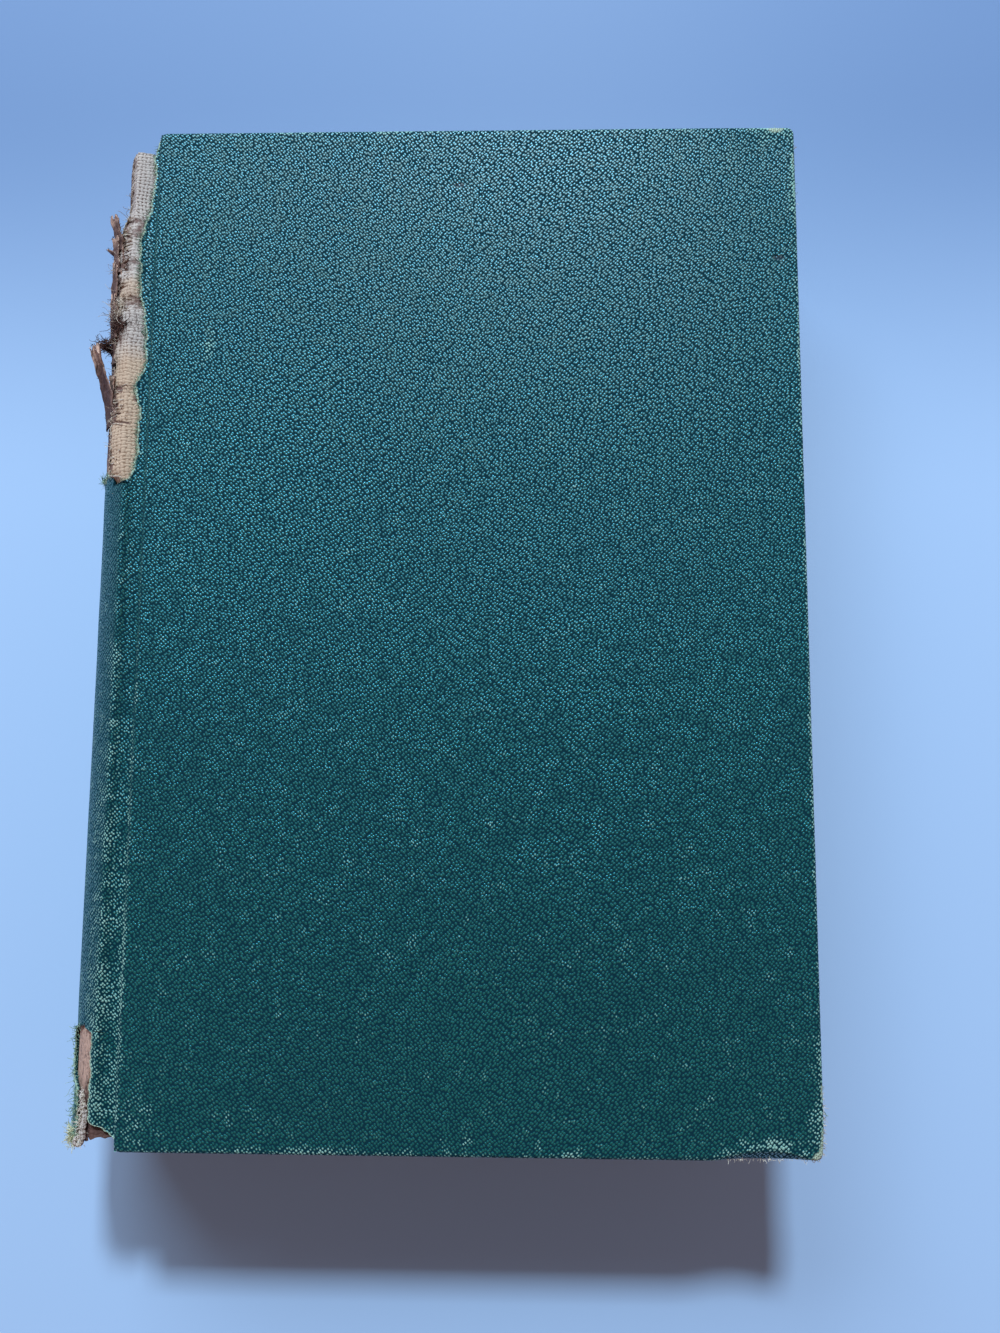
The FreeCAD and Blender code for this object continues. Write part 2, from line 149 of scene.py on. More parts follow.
def spots(x, y, places):
    """Sum of round bumps exp(-r^2), each (x, y, half width, half length, strength)."""
    total = np.zeros(np.broadcast(x, y).shape)
    for at_x, at_y, wide, long, strength in places:
        total = total + strength * np.exp(-(((x - at_x) / wide) ** 2) - ((y - at_y) / long) ** 2)
    return total


# The spine's arc runs from hinge line to hinge line through the outermost line
BOW = HINGE_X - SPINE_LOW[0] - CLOTH / 2
HALF_HINGE = MIDDLE - HINGE_DROP
RING = arc_radius(HALF_HINGE, BOW)
SPINE_RADIUS = RING + CLOTH / 2
SPINE_CENTRE = SPINE_LOW[0] + SPINE_RADIUS
HINGE_ANGLE = np.degrees(np.arcsin(HALF_HINGE / RING))


# Meshes
SHARP_ANGLE = 50


def grid_faces(rows, columns, closed=False):
    """Quads between neighbouring points of a grid whose points are numbered row by row; a closed
    grid also joins its last column to its first."""
    number = np.arange(rows * columns).reshape(rows, columns)
    ahead = np.roll(number, -1, axis=1)
    here, right = (number, ahead) if closed else (number[:, :-1], number[:, 1:])
    quads = np.stack([here[:-1], right[:-1], right[1:], here[1:]], axis=-1)
    return quads.reshape(-1, 4)


def corner_normals(points, faces):
    """Unit normal of each point: the sum of its faces' diagonals' cross products."""
    a, b, c, d = (points[faces[:, k]] for k in range(4))
    cross = np.cross(c - a, d - b)
    normals = np.zeros_like(points)
    for k in range(4):
        np.add.at(normals, faces[:, k], cross)
    return normals / np.maximum(np.linalg.norm(normals, axis=1, keepdims=True), 1e-12)


def merged(points, faces, extras):
    """Points at one place become one point, and each extra keeps the first one's value."""
    keys = np.round(points, 4)
    _, first, inverse = np.unique(keys, axis=0, return_index=True, return_inverse=True)
    kept = {name: data[first] for name, data in extras.items()}
    return points[first], inverse.ravel()[faces], kept


def thickened(points, faces, thick, extras):
    """A sheet becomes a closed shell: each point is copied inwards along its normal by the
    thickness there, and a wall joins each open edge to its copy."""
    inner = points - corner_normals(points, faces) * np.reshape(thick, (-1, 1))
    count = len(points)
    start = faces.ravel()
    end = np.roll(faces, -1, axis=1).ravel()
    real = start != end
    start, end = start[real], end[real]
    forward = start.astype(np.int64) * count + end
    backward = end.astype(np.int64) * count + start
    rim = ~np.isin(forward, backward)
    a, b = start[rim], end[rim]
    walls = np.stack([b, a, a + count, b + count], axis=-1)
    faces = np.concatenate([faces, faces[:, ::-1] + count, walls])
    doubled = {name: np.concatenate([data, data]) for name, data in extras.items()}
    return np.concatenate([points, inner]), faces, doubled


def put_mesh(name, points, faces, material, extras=None, smooth=True):
    """A mesh from an array of points in millimetres and an array of quads. A quad that names a
    point twice becomes a triangle. Extras are a UV map in metres and masks, by name."""
    mesh = bpy.data.meshes.new(name)
    same = faces == np.roll(faces, -1, axis=1)
    whole = faces[same.sum(axis=1) == 0]
    folded, twice = faces[same.sum(axis=1) == 1], same[same.sum(axis=1) == 1]
    folded = folded[~twice].reshape(-1, 3)
    corners = np.concatenate([whole.ravel(), folded.ravel()]).astype(np.int32)
    starts = np.concatenate(
        [np.arange(len(whole)) * 4, len(whole) * 4 + np.arange(len(folded)) * 3]
    ).astype(np.int32)
    mesh.vertices.add(len(points))
    mesh.vertices.foreach_set("co", (points * MM).astype(np.float32).ravel())
    mesh.loops.add(len(corners))
    mesh.loops.foreach_set("vertex_index", corners)
    mesh.polygons.add(len(starts))
    mesh.polygons.foreach_set("loop_start", starts)
    mesh.polygons.foreach_set("use_smooth", np.full(len(starts), smooth))
    mesh.update(calc_edges=True)
    for key, data in (extras or {}).items():
        if key == "UVMap":
            layer = mesh.uv_layers.new(name=key)
            layer.data.foreach_set("uv", (data[corners] * MM).astype(np.float32).ravel())
        else:
            mask = mesh.attributes.new(key, "FLOAT", "POINT")
            mask.data.foreach_set("value", data.astype(np.float32))
    mesh.validate()
    if smooth:
        mesh.set_sharp_from_angle(angle=radians(SHARP_ANGLE))
    mesh.materials.append(material)
    piece = bpy.data.objects.new(name, mesh)
    bpy.context.scene.collection.objects.link(piece)
    return piece


def put_sheet(name, points, thick, material, flip=False, **extras):
    """A sheet with thickness from a grid of outer points (rows, columns, 3)."""
    rows, columns = points.shape[:2]
    faces = grid_faces(rows, columns)
    if flip:
        faces = faces[:, ::-1]
    flat = {key: data.reshape(rows * columns, -1).squeeze() for key, data in extras.items()}
    thick = np.broadcast_to(thick, (rows, columns)).ravel()
    points, faces, flat = thickened(points.reshape(-1, 3), faces, thick, flat)
    return put_mesh(name, points, faces, material, flat)


def tubes(paths, radius, sides):
    """Round threads: paths is (threads, points, 3), radius (threads, points). A ring of points
    stands square to each path, turned about by two fixed directions, and its ends are closed
    by rings drawn in to the path."""
    paths = np.concatenate([paths[:, :1], paths, paths[:, -1:]], axis=1)
    radius = np.concatenate([radius[:, :1] * 0.02, radius, radius[:, -1:] * 0.02], axis=1)
    along = np.gradient(paths, axis=1)
    along /= np.maximum(np.linalg.norm(along, axis=2, keepdims=True), 1e-9)
    side = np.cross(along, np.array([0.31, 0.22, 0.92]))
    side /= np.maximum(np.linalg.norm(side, axis=2, keepdims=True), 1e-9)
    up = np.cross(side, along)
    turn = np.arange(sides) * 2 * np.pi / sides
    ring = side[:, :, None] * np.cos(turn)[:, None] + up[:, :, None] * np.sin(turn)[:, None]
    points = paths[:, :, None] + ring * radius[:, :, None, None]
    threads, length = points.shape[:2]
    one = grid_faces(length, sides, closed=True)[:, ::-1]
    faces = (one[None] + (np.arange(threads) * length * sides)[:, None, None]).reshape(-1, 4)
    return points.reshape(-1, 3), faces


# Shader building
def feed(tree, source, socket):
    """Links a socket to the input, or sets the input to a plain value."""
    if isinstance(source, bpy.types.NodeSocket):
        tree.links.new(source, socket)
    else:
        socket.default_value = source


def add(tree, kind, inputs=None, **settings):
    """One shader node. Each input is a socket to link or a plain value."""
    item = tree.nodes.new("ShaderNode" + kind)
    for key, setting in settings.items():
        setattr(item, key, setting)
    for key, source in (inputs or {}).items():
        feed(tree, source, item.inputs[key])
    return item


def maths(tree, operation, *values, clamp=False):
    return add(
        tree, "Math", dict(enumerate(values)), operation=operation, use_clamp=clamp
    ).outputs[0]


def times(tree, first, second):
    return maths(tree, "MULTIPLY", first, second)


def plus(tree, first, second):
    return maths(tree, "ADD", first, second)


def less(tree, first, second):
    return maths(tree, "SUBTRACT", first, second)


def mask(tree, name):
    """A mask that the mesh carries, by name."""
    return add(tree, "Attribute", attribute_name=name).outputs["Fac"]


def spread(tree, value, low, high, to_low=0.0, to_high=1.0):
    """Carries one range of values onto another, with soft ends."""
    inputs = {"Value": value, 1: low, 2: high, 3: to_low, 4: to_high}
    return add(tree, "MapRange", inputs, interpolation_type="SMOOTHSTEP").outputs[0]


def blend_colours(tree, factor, first, second, blend="MIX"):
    item = add(tree, "Mix", data_type="RGBA", blend_type=blend)
    for socket, source in ((0, factor), (6, first), (7, second)):
        feed(tree, source, item.inputs[socket])
    return item.outputs[2]


def noise(tree, vector, scale, detail=2.0, roughness=0.5):
    inputs = {"Vector": vector, "Scale": scale, "Detail": detail, "Roughness": roughness}
    return add(tree, "TexNoise", inputs)


def turned(tree, vector, angle, stretch):
    """A place seen along a direction, with the pattern stretched along and across it."""
    inputs = {"Vector": vector, "Rotation": (0, 0, radians(angle)), "Scale": stretch}
    return add(tree, "Mapping", inputs, vector_type="TEXTURE").outputs[0]


def scaled(tree, vector, scale):
    return add(tree, "VectorMath", {0: vector, 1: scale}, operation="MULTIPLY").outputs[0]


def nudged(tree, vector, scale, amount, detail=1.0):
    """A place moved about by noise of one scale and reach."""
    shift = noise(tree, vector, scale, detail).outputs["Color"]
    centred = add(tree, "VectorMath", {0: shift, 1: (0.5, 0.5, 0.5)}, operation="SUBTRACT")
    reach = add(tree, "VectorMath", {0: centred.outputs[0], "Scale": amount}, operation="SCALE")
    moved = add(tree, "VectorMath", {0: vector, 1: reach.outputs[0]}, operation="ADD")
    return moved.outputs[0]


def new_group(name, inputs, outputs):
    """An empty node group with named inputs and outputs; returns it, its input's sockets and the
    node that takes its results."""
    group = bpy.data.node_groups.new(name, "ShaderNodeTree")
    for label, kind, start in inputs:
        socket = group.interface.new_socket(name=label, in_out="INPUT", socket_type=kind)
        if start is not None:
            socket.default_value = start
    for label, kind in outputs:
        group.interface.new_socket(name=label, in_out="OUTPUT", socket_type=kind)
    entry = group.nodes.new("NodeGroupInput")
    leave = group.nodes.new("NodeGroupOutput")
    return group, entry.outputs, leave


def use_group(tree, group, inputs):
    item = tree.nodes.new("ShaderNodeGroup")
    item.node_tree = group
    for key, source in inputs.items():
        feed(tree, source, item.inputs[key])
    return item.outputs


def colour(red, green, blue):
    """Linear colour of a colour given as it shows, from 0 to 255."""
    shown = np.array([red, green, blue]) / 255
    linear = np.where(shown <= 0.04045, shown / 12.92, ((shown + 0.055) / 1.055) ** 2.4)
    return (*linear.tolist(), 1.0)


def mixed(tree, factor, first, second):
    """A mix of two colours given as they show."""
    return blend_colours(tree, factor, colour(*first), colour(*second))


def new_material(name):
    material = bpy.data.materials.new(name)
    material.use_nodes = True
    tree = material.node_tree
    return material, tree, tree.nodes["Principled BSDF"].inputs


def bumped(tree, surface, height, depth, strength=1.0):
    """Feeds a height of 0 to 1 into the surface's normal; depth is in metres."""
    bump = add(tree, "Bump", {"Strength": strength, "Distance": depth, "Height": height})
    feed(tree, bump.outputs[0], surface["Normal"])


# Shared effects. The grain's two slants meet within this band across the cover, in metres
MEETING = (0.0545, 0.0555)


def make_pebble_grain():
    """Pressed pebble grain of coated cloth: round-topped cells with fine pits between, in short
    slanting chains that fall towards the fore-edge on one side of a wandering line and rise on
    the other."""
    tree, given, leave = new_group(
        "pebble_grain",
        [("Vector", "NodeSocketVector", None), ("Pitch", "NodeSocketFloat", 1500.0)],
        [("Height", "NodeSocketFloat"), ("Tops", "NodeSocketFloat")],
    )
    drift = nudged(tree, given["Vector"], 16.0, 0.006, 0.0)
    place = nudged(tree, drift, 800.0, 0.0003, 0.0)
    domes = []
    for angle in (-50, 48):
        cells = add(
            tree, "TexVoronoi",
            {"Vector": turned(tree, place, angle, (1.14, 0.9, 1.0)), "Scale": given["Pitch"],
             "Randomness": 0.5},
            feature="F1", voronoi_dimensions="2D",
        )
        domes.append(spread(tree, cells.outputs["Distance"], 0.08, 0.6, 1.0, 0.0))
    wander = times(tree, noise(tree, given["Vector"], 45.0, 4.0, 0.65).outputs[0], 0.1)
    across = add(tree, "SeparateXYZ", {0: given["Vector"]}).outputs[0]
    side = spread(tree, plus(tree, across, wander), *MEETING)
    dome = plus(tree, times(tree, domes[0], less(tree, 1.0, side)), times(tree, domes[1], side))
    swell = noise(tree, place, 420.0, 1.0).outputs[0]
    height = times(tree, dome, spread(tree, swell, 0.2, 0.75, 0.62, 1.0))
    feed(tree, height, leave.inputs["Height"])
    feed(tree, spread(tree, height, 0.12, 0.7), leave.inputs["Tops"])
    return tree


def make_plain_weave():
    """Plain weave: warp and weft threads with round backs, each passing over and under in turn.
    The two sets are sines of the place, and a chequer of their signs says which lies on top."""
    tree, given, leave = new_group(
        "plain_weave",
        [("Vector", "NodeSocketVector", None), ("Threads", "NodeSocketFloat", 1180.0)],
        [("Height", "NodeSocketFloat"), ("Gap", "NodeSocketFloat")],
    )
    place = nudged(tree, nudged(tree, given["Vector"], 90.0, 0.0022), 700.0, 0.0007)
    parts = add(tree, "SeparateXYZ", {0: place})
    waves = []
    for axis in (0, 1):
        turns = times(tree, parts.outputs[axis], given["Threads"])
        waves.append(maths(tree, "SINE", times(tree, turns, pi)))
    backs = [maths(tree, "ABSOLUTE", wave) for wave in waves]
    over = times(tree, waves[0], waves[1])
    lift = spread(tree, over, -0.5, 0.5)
    warp = times(tree, backs[0], plus(tree, times(tree, lift, 0.5), 0.5))
    weft = times(tree, backs[1], less(tree, 1.0, times(tree, lift, 0.5)))
    height = maths(tree, "MAXIMUM", warp, weft)
    feed(tree, height, leave.inputs["Height"])
    feed(tree, spread(tree, height, 0.32, 0.62, 1.0, 0.0), leave.inputs["Gap"])
    return tree


def make_paper_fibre():
    """Felted fibres of paper and card: stretched noise crossed both ways, with larger clouds."""
    tree, given, leave = new_group(
        "paper_fibre",
        [("Vector", "NodeSocketVector", None), ("Fineness", "NodeSocketFloat", 1800.0)],
        [("Height", "NodeSocketFloat"), ("Cloud", "NodeSocketFloat")],
    )
    layers = [
        noise(tree, turned(tree, given["Vector"], angle, (1.0, 4.0, 1.0)), given["Fineness"], 3.0)
        for angle in (20, 115)
    ]
    height = maths(tree, "MAXIMUM", layers[0].outputs[0], layers[1].outputs[0])
    feed(tree, height, leave.inputs["Height"])
    cloud = noise(tree, given["Vector"], 90.0, 4.0, 0.6).outputs[0]
    feed(tree, cloud, leave.inputs["Cloud"])
    return tree


pebble_grain = make_pebble_grain()
plain_weave = make_plain_weave()
paper_fibre = make_paper_fibre()


# Materials
def matt(surface, roughness, specular):
    """One roughness and one specular level for the whole surface."""
    surface["Roughness"].default_value = roughness
    surface["Specular IOR Level"].default_value = specular


# Two pits in the front cover's cloth: middle and reach of the rim, in metres on the cloth.
# Their floors are painted near black as painted shade.
PITS = [((0.0040, 0.0978, 0.0), 0.0006), ((0.0750, 0.0800, 0.0), 0.0007)]
PIT_FLOOR = 0.0003


def make_book_cloth():
    """Dark green coated cloth. The tops of its grain are glossy, and the pits between them are
    painted near black against green tops, as painted shade. Wear rubs the tops dull and pale, and
    where it is bare the threads of the cloth show."""
    material, tree, surface = new_material("book_cloth")
    place = add(tree, "TexCoord").outputs["UV"]
    wear = mask(tree, "wear")
    bare = mask(tree, "bare")
    grain = use_group(tree, pebble_grain, {"Vector": place})
    weave = use_group(tree, plain_weave, {"Vector": place, "Threads": 2100.0})

    mottle = noise(tree, place, 22.0, 4.0, 0.6).outputs[0]
    # Painted shade: the grain's pits are painted near black and its tops green.
    painted_pit_shade = mixed(tree, mottle, (0, 4, 6), (0, 12, 12))
    lit = mixed(tree, mottle, (0, 74, 62), (2, 92, 78))
    green = blend_colours(tree, grain["Tops"], painted_pit_shade, lit)

    speckle = noise(tree, place, 620.0, 2.0).outputs[0]
    patches = noise(tree, place, 120.0, 3.0, 0.65).outputs[0]
    chance = times(tree, less(tree, patches, 0.5), 1.1)
    chance = plus(tree, chance, less(tree, speckle, 0.5))
    depth = times(tree, less(tree, grain["Height"], 0.8), 1.2)
    rubbed = plus(tree, plus(tree, wear, chance), depth)
    rubbed = spread(tree, rubbed, 0.24, 0.62)
    pale = mixed(tree, speckle, (84, 140, 126), (176, 206, 188))
    worn = blend_colours(tree, rubbed, green, pale)
    threads = mixed(tree, weave["Gap"], (176, 186, 158), (60, 74, 62))
    scuffed = spread(tree, plus(tree, bare, times(tree, speckle, 0.5)), 0.55, 0.95)
    shown = blend_colours(tree, scuffed, worn, threads)
    through = spread(tree, plus(tree, bare, times(tree, speckle, 0.3)), 1.12, 1.22)

    pits = []
    for spot, rim in PITS:
        away = add(tree, "VectorMath", {0: place, 1: spot}, operation="SUBTRACT").outputs[0]
        oval = scaled(tree, away, (0.4, 1.0, 1.0))
        reach = add(tree, "VectorMath", {0: oval}, operation="LENGTH").outputs["Value"]
        pits.append(spread(tree, reach, PIT_FLOOR, rim, 1.0, 0.0))
    pit = maths(tree, "MAXIMUM", *pits)
    tone = blend_colours(tree, through, shown, colour(150, 118, 100))
    # Painted shade: the pits' floors are painted near black.
    feed(tree, blend_colours(tree, pit, tone, colour(26, 18, 18)), surface["Base Color"])

    dull = maths(tree, "MAXIMUM", rubbed, scuffed)
    rough = spread(tree, grain["Height"], 0.15, 0.7, 1.0, 0.28)
    rough = maths(tree, "ADD", rough, times(tree, dull, 0.3), clamp=True)
    feed(tree, rough, surface["Roughness"])
    surface["IOR"].default_value = 1.75
    surface["Specular IOR Level"].default_value = 0.75
    surface["Specular Tint"].default_value = (0.12, 0.7, 1.0, 1.0)
    gloss = times(tree, grain["Tops"], less(tree, 1.0, dull))
    feed(tree, spread(tree, gloss, 0.1, 0.9, 0.0, 0.75), surface["Coat Weight"])
    surface["Coat Roughness"].default_value = 0.47
    surface["Coat IOR"].default_value = 1.6
    relief = less(tree, grain["Height"], times(tree, pit, 2.0))
    bumped(tree, surface, relief, 0.00012)
    return material


def make_mull_cloth():
    """Open-woven cotton, glue-stained: cream threads, tan glue in the gaps and in patches."""
    material, tree, surface = new_material("mull_cloth")
    place = add(tree, "TexCoord").outputs["UV"]
    stain = mask(tree, "stain")
    weave = use_group(tree, plain_weave, {"Vector": place})
    fibre = use_group(tree, paper_fibre, {"Vector": place, "Fineness": 2600.0})
    cloud = noise(tree, place, 130.0, 4.0, 0.65).outputs[0]
    cream = mixed(tree, cloud, (162, 148, 144), (220, 208, 198))
    glue = mixed(tree, cloud, (164, 134, 114), (222, 196, 170))
    soaked = spread(tree, plus(tree, stain, times(tree, cloud, 0.4)), 0.45, 0.95)
    threads = blend_colours(tree, soaked, cream, glue)
    gaps = mixed(tree, soaked, (104, 82, 74), (156, 126, 104))
    openness = spread(tree, fibre["Cloud"], 0.3, 0.62, 0.4, 1.0)
    cloth = blend_colours(tree, times(tree, weave["Gap"], openness), threads, gaps)
    # Darker brown where the brown mask says: at the tail, in the ladders' gaps, along the crack, in
    # patches and spots, and where the mull lies bare nearer the spine's middle than the strip's
    # edge.
    dark_brown = mixed(tree, cloud, (46, 28, 30), (140, 104, 94))
    dark_brown_share = spread(tree, mask(tree, "brown"), 0.1, 0.9)
    feed(tree, blend_colours(tree, dark_brown_share, cloth, dark_brown), surface["Base Color"])
    matt(surface, 0.85, 0.2)
    relief = plus(tree, times(tree, weave["Height"], 0.75), times(tree, fibre["Height"], 0.25))
    bumped(tree, surface, relief, 0.0002, 0.8)
    return material


def make_paper(name, dark, light, core, depth, fineness, roughness):
    """Paper or card of one colour range, with clouds and fibres, and its core's colour where a
    mask says that it is torn."""
    material, tree, surface = new_material(name)
    place = add(tree, "TexCoord").outputs["Object"]
    fibre = use_group(tree, paper_fibre, {"Vector": place, "Fineness": fineness})
    cloud = spread(tree, fibre["Cloud"], 0.3, 0.7)
    tone = mixed(tree, cloud, dark, light)
    shade = spread(tree, fibre["Height"], 0.35, 0.75)
    darker = blend_colours(tree, 1.0, tone, (0.55, 0.52, 0.5, 1.0), "MULTIPLY")
    whole = blend_colours(tree, shade, darker, tone)
    torn = mask(tree, "torn")
    inside = times(tree, torn, spread(tree, fibre["Height"], 0.3, 0.6))
    feed(tree, blend_colours(tree, inside, whole, colour(*core)), surface["Base Color"])
    matt(surface, roughness, 0.25)
    bumped(tree, surface, fibre["Height"], depth)
    return material


def make_page_edges():
    """Edges of the leaves: fine lines along each leaf, sections of two tones and brown spots."""
    material, tree, surface = new_material("page_edges")
    place = add(tree, "TexCoord").outputs["Object"]
    leaves = noise(tree, scaled(tree, place, (12.0, 12.0, 4200.0)), 1.0, 3.0, 0.7).outputs[0]
    groups = noise(tree, scaled(tree, place, (4.0, 4.0, 520.0)), 1.0, 2.0).outputs[0]
    spots_here = noise(tree, place, 150.0, 4.0, 0.65).outputs[0]
    sections = spread(tree, groups, 0.3, 0.7)
    tone = mixed(tree, sections, (186, 164, 128), (216, 198, 164))
    tone = blend_colours(tree, spread(tree, spots_here, 0.55, 0.8), tone, colour(168, 140, 100))
    lines = spread(tree, leaves, 0.35, 0.62)
    dark = blend_colours(tree, 1.0, tone, (0.42, 0.36, 0.28, 1.0), "MULTIPLY")
    feed(tree, blend_colours(tree, lines, dark, tone), surface["Base Color"])
    matt(surface, 0.8, 0.25)
    bumped(tree, surface, leaves, 0.00012)
    return material


book_cloth = make_book_cloth()
mull_cloth = make_mull_cloth()
page_edges = make_page_edges()
# Name, dark, light and torn colour, depth of the relief, fineness of the fibres, roughness
kraft_paper, kraft_card, greyboard, endpaper = (make_paper(*row) for row in (
    ("kraft_paper", (64, 42, 42), (118, 88, 78), (170, 142, 124), 0.0001, 1800.0, 0.8),
    ("kraft_card", (60, 38, 42), (126, 98, 94), (196, 160, 142), 0.00025, 1400.0, 0.9),
    ("greyboard", (104, 86, 72), (150, 130, 108), (170, 150, 124), 0.00015, 1500.0, 0.9),
    ("endpaper", (212, 197, 166), (226, 212, 184), (226, 212, 184), 0.00004, 2400.0, 0.7),
))


# Covers
FLAT_REACH = 3.0
EDGE_ROUND = 0.8
TURN_IN = 15.0
FORE_CORNER = 1.6
HINGE_CORNER = 1.5
CORNER_STEPS = 8
CELL, FINE_CELL, FINE_REACH = 1.35, 0.7, 8.0


def even_lines(low, high):
    """Places from low to high, a cell apart in the middle and closer near each end."""
    t = np.linspace(low, high, 4000)
    near_end = bell(t, low, FINE_REACH) + bell(t, high, FINE_REACH)
    density = 1 / CELL + (1 / FINE_CELL - 1 / CELL) * near_end
    total = np.cumsum(density) * (t[1] - t[0])
    return np.interp(np.linspace(total[0], total[-1], int(total[-1]) + 1), total, t)


def cover_profile():
    """The wrapped cloth's section, as (inset, depth) from the flat of the face round the edge to
    the end of the turn-in, with the stretch of cloth covered so far and the number of points
    above the edge's side."""
    arc = np.radians(np.linspace(0, 90, 7))
    flat = [(inset, 0.0) for inset in (3.0, 2.5, 2.0, 1.6, 1.2)]
    top = [(EDGE_ROUND * (1 - np.sin(a)), EDGE_ROUND * (1 - np.cos(a))) for a in arc]
    side = [(0.0, depth) for depth in (1.1, 1.5, 1.9, 2.3)]
    under = [(EDGE_ROUND * (1 - np.cos(a)), WRAP - EDGE_ROUND * (1 - np.sin(a))) for a in arc]
    inside = [(inset, WRAP) for inset in (1.6, 3.0, 5.0, 8.0, 11.0, 14.0, 14.8)]
    end = [(TURN_IN, WRAP - 0.2), (TURN_IN, WRAP - CLOTH + 0.02)]
    profile = np.array(flat + top + side + under + inside + end)
    return profile, run_along(profile), len(flat + top)


def cover_outline(x_lines, y_lines, inset, clipped):
    """The cover's plan at one inset, anticlockwise from the hinge-tail corner. A corner's radius
    shrinks to nothing at the flat's inset. A clipped outline, under the board, keeps the hinge
    corners as they are at the edge and mitres the fore-edge corners."""
    x0, x1, y0, y1 = HINGE_FACE, FORE_EDGE, TAIL, HEAD
    sides = []
    for start, rho, cx, cy, hinge in (
        (180, HINGE_CORNER, x0, y0, True), (270, FORE_CORNER, x1, y0, False),
        (0, FORE_CORNER, x1, y1, False), (90, HINGE_CORNER, x0, y1, True),
    ):
        away_x, away_y = (1 if cx == x0 else -1), (1 if cy == y0 else -1)
        angle = np.radians(start + np.linspace(0, 90, CORNER_STEPS + 1))
        if clipped and hinge:
            px = cx + away_x * rho + rho * np.cos(angle)
            py = cy + away_y * (rho + inset) + rho * np.sin(angle)
        else:
            radius = max(rho * (1 - inset / FLAT_REACH), 0.0)
            px = cx + away_x * (inset + radius) + radius * np.cos(angle)
            py = cy + away_y * (inset + radius) + radius * np.sin(angle)
        sides.append(np.stack([px, py], axis=-1))
    xs, ys, back = x_lines, y_lines, max(inset, 0)
    if clipped:
        xs, ys = np.clip(xs, x0, x1 - back), np.clip(ys, y0 + back, y1 - back)
    tail = np.stack([xs, np.full_like(xs, y0 + inset)], axis=-1)
    fore = np.stack([np.full_like(ys, x1 - inset), ys], axis=-1)
    head = np.stack([xs[::-1], np.full_like(xs, y1 - inset)], axis=-1)
    hinge_side = np.stack([np.full_like(ys, x0 + inset), ys[::-1]], axis=-1)
    return np.concatenate([sides[0], tail, sides[1], fore, sides[2], head, sides[3], hinge_side])


# Rubbed, bare and dented places of the covers: x, y, half width, half length, strength
FRONT_RUBS = [
    (74.0, 110.0, 5.0, 2.5, 0.8), (78.6, 97.0, 0.9, 9.0, 0.8), (79.0, 60.0, 0.7, 30.0, 0.45),
    (79.2, -20.0, 0.7, 40.0, 0.5), (79.0, -96.0, 1.6, 9.0, 0.5), (69.0, -107.6, 8.0, 1.0, 0.8),
    (77.5, -104.0, 2.0, 4.0, 0.5), (28.5, -110.3, 2.6, 1.0, 0.8), (1.0, -107.7, 2.0, 1.2, 0.5),
    (8.0, -107.9, 1.6, 0.8, 0.7), (-51.5, 60.5, 2.6, 0.5, 0.5), (-30.0, -110.2, 30.0, 0.8, 0.5),
    (-51.0, 59.0, 1.2, 4.0, 0.7), (-65.0, -75.0, 1.2, 20.0, 0.8), (-66.0, 0.0, 1.2, 60.0, 0.35),
    (10.0, 110.9, 60.0, 0.5, 0.5), (-60.0, -104.0, 6.0, 6.0, 0.35), (20.0, -40.0, 3.0, 2.0, 0.3),
]
FRONT_BARE = [
    (75.2, 110.6, 2.0, 0.9, 0.9), (79.4, -107.5, 0.9, 3.4, 1.0), (78.8, -110.6, 1.8, 1.2, 1.6),
    (79.3, -97.5, 0.7, 1.6, 0.9), (78.9, 103.0, 0.5, 3.0, 0.5),
]
FRONT_DENTS = [
    (4.0, 97.8, 2.2, 0.8, 0.22), (75.0, 80.0, 0.7, 0.7, 0.3), (75.0, 107.0, 8.0, 6.0, 0.25),
]
BACK_RUBS = [
    (74.0, 110.0, 6.0, 2.5, 0.9), (74.0, -110.0, 6.0, 2.5, 0.9), (79.0, 0.0, 0.8, 80.0, 0.5),
    (0.0, -110.8, 60.0, 0.6, 0.5), (0.0, 110.8, 60.0, 0.6, 0.5), (-65.0, 0.0, 1.2, 90.0, 0.6),
]
BACK_BARE = [(78.4, 110.4, 1.6, 1.6, 0.9), (78.4, -110.4, 1.6, 1.6, 0.9)]


def rolled_edge(x):
    """Height above the tail of the ridge where the front cover's bumped tail edge turns down
    near the fore-edge corner: a low hump between two places."""
    run = np.clip((x - 54.5) / 23.5, 0, 1)
    return TAIL + 2.3 * np.sin(np.pi * run ** 1.3) ** 0.9


def rolled_drop(x, y):
    """How far the face drops beyond the ridge: as far as it lies below it, 1.9 mm at most."""
    return np.minimum(np.clip(rolled_edge(x) - y, 0, None) * ease(x, 55.0, 61.0), 1.9)


def shape_cover(points, side):
    """The cover's low relief: slow waves of the board, soft dents, a rounded head corner, and
    the front cover's rolled tail corner. Depth is measured inwards from the cover's face."""
    x, y, depth = points[:, 0], points[:, 1], points[:, 2]
    seed = 11 if side == "front" else 31
    share = 1 - ease(depth, 0.0, WRAP)
    wave = 0.16 * smooth_noise(x, y, 55.0, seed) + 0.05 * smooth_noise(x, y, 9.0, seed + 1)
    depth = depth + share * wave
    edge = ease(depth, 0.4, 1.2) * (1 - ease(depth, WRAP, WRAP + 0.5))
    wobble = 0.12 * ragged(x + y, 3.0, seed + 2) + 0.08 * ragged(x - y, 0.9, seed + 3)
    x = x - np.abs(wobble) * edge * np.sign(x - 7.0)
    y = y - np.abs(wobble) * edge * np.sign(y)
    if side == "front":
        depth = depth + share * spots(x, y, FRONT_DENTS)
        depth = depth + rolled_drop(x, y) * share
        depth = depth - share * 0.12 * bell(y, rolled_edge(x), 0.8) * ease(x, 59.0, 64.0)
        corner = ease(x - y, FORE_EDGE + HEAD - 7.0, FORE_EDGE + HEAD - 0.5)
        x = x - 0.3 * corner * ease(x, 76.0, 79.0)
        y = y + 0.35 * corner * ease(-y, 107.0, 111.0)
    return np.stack([x, y, depth], axis=-1)


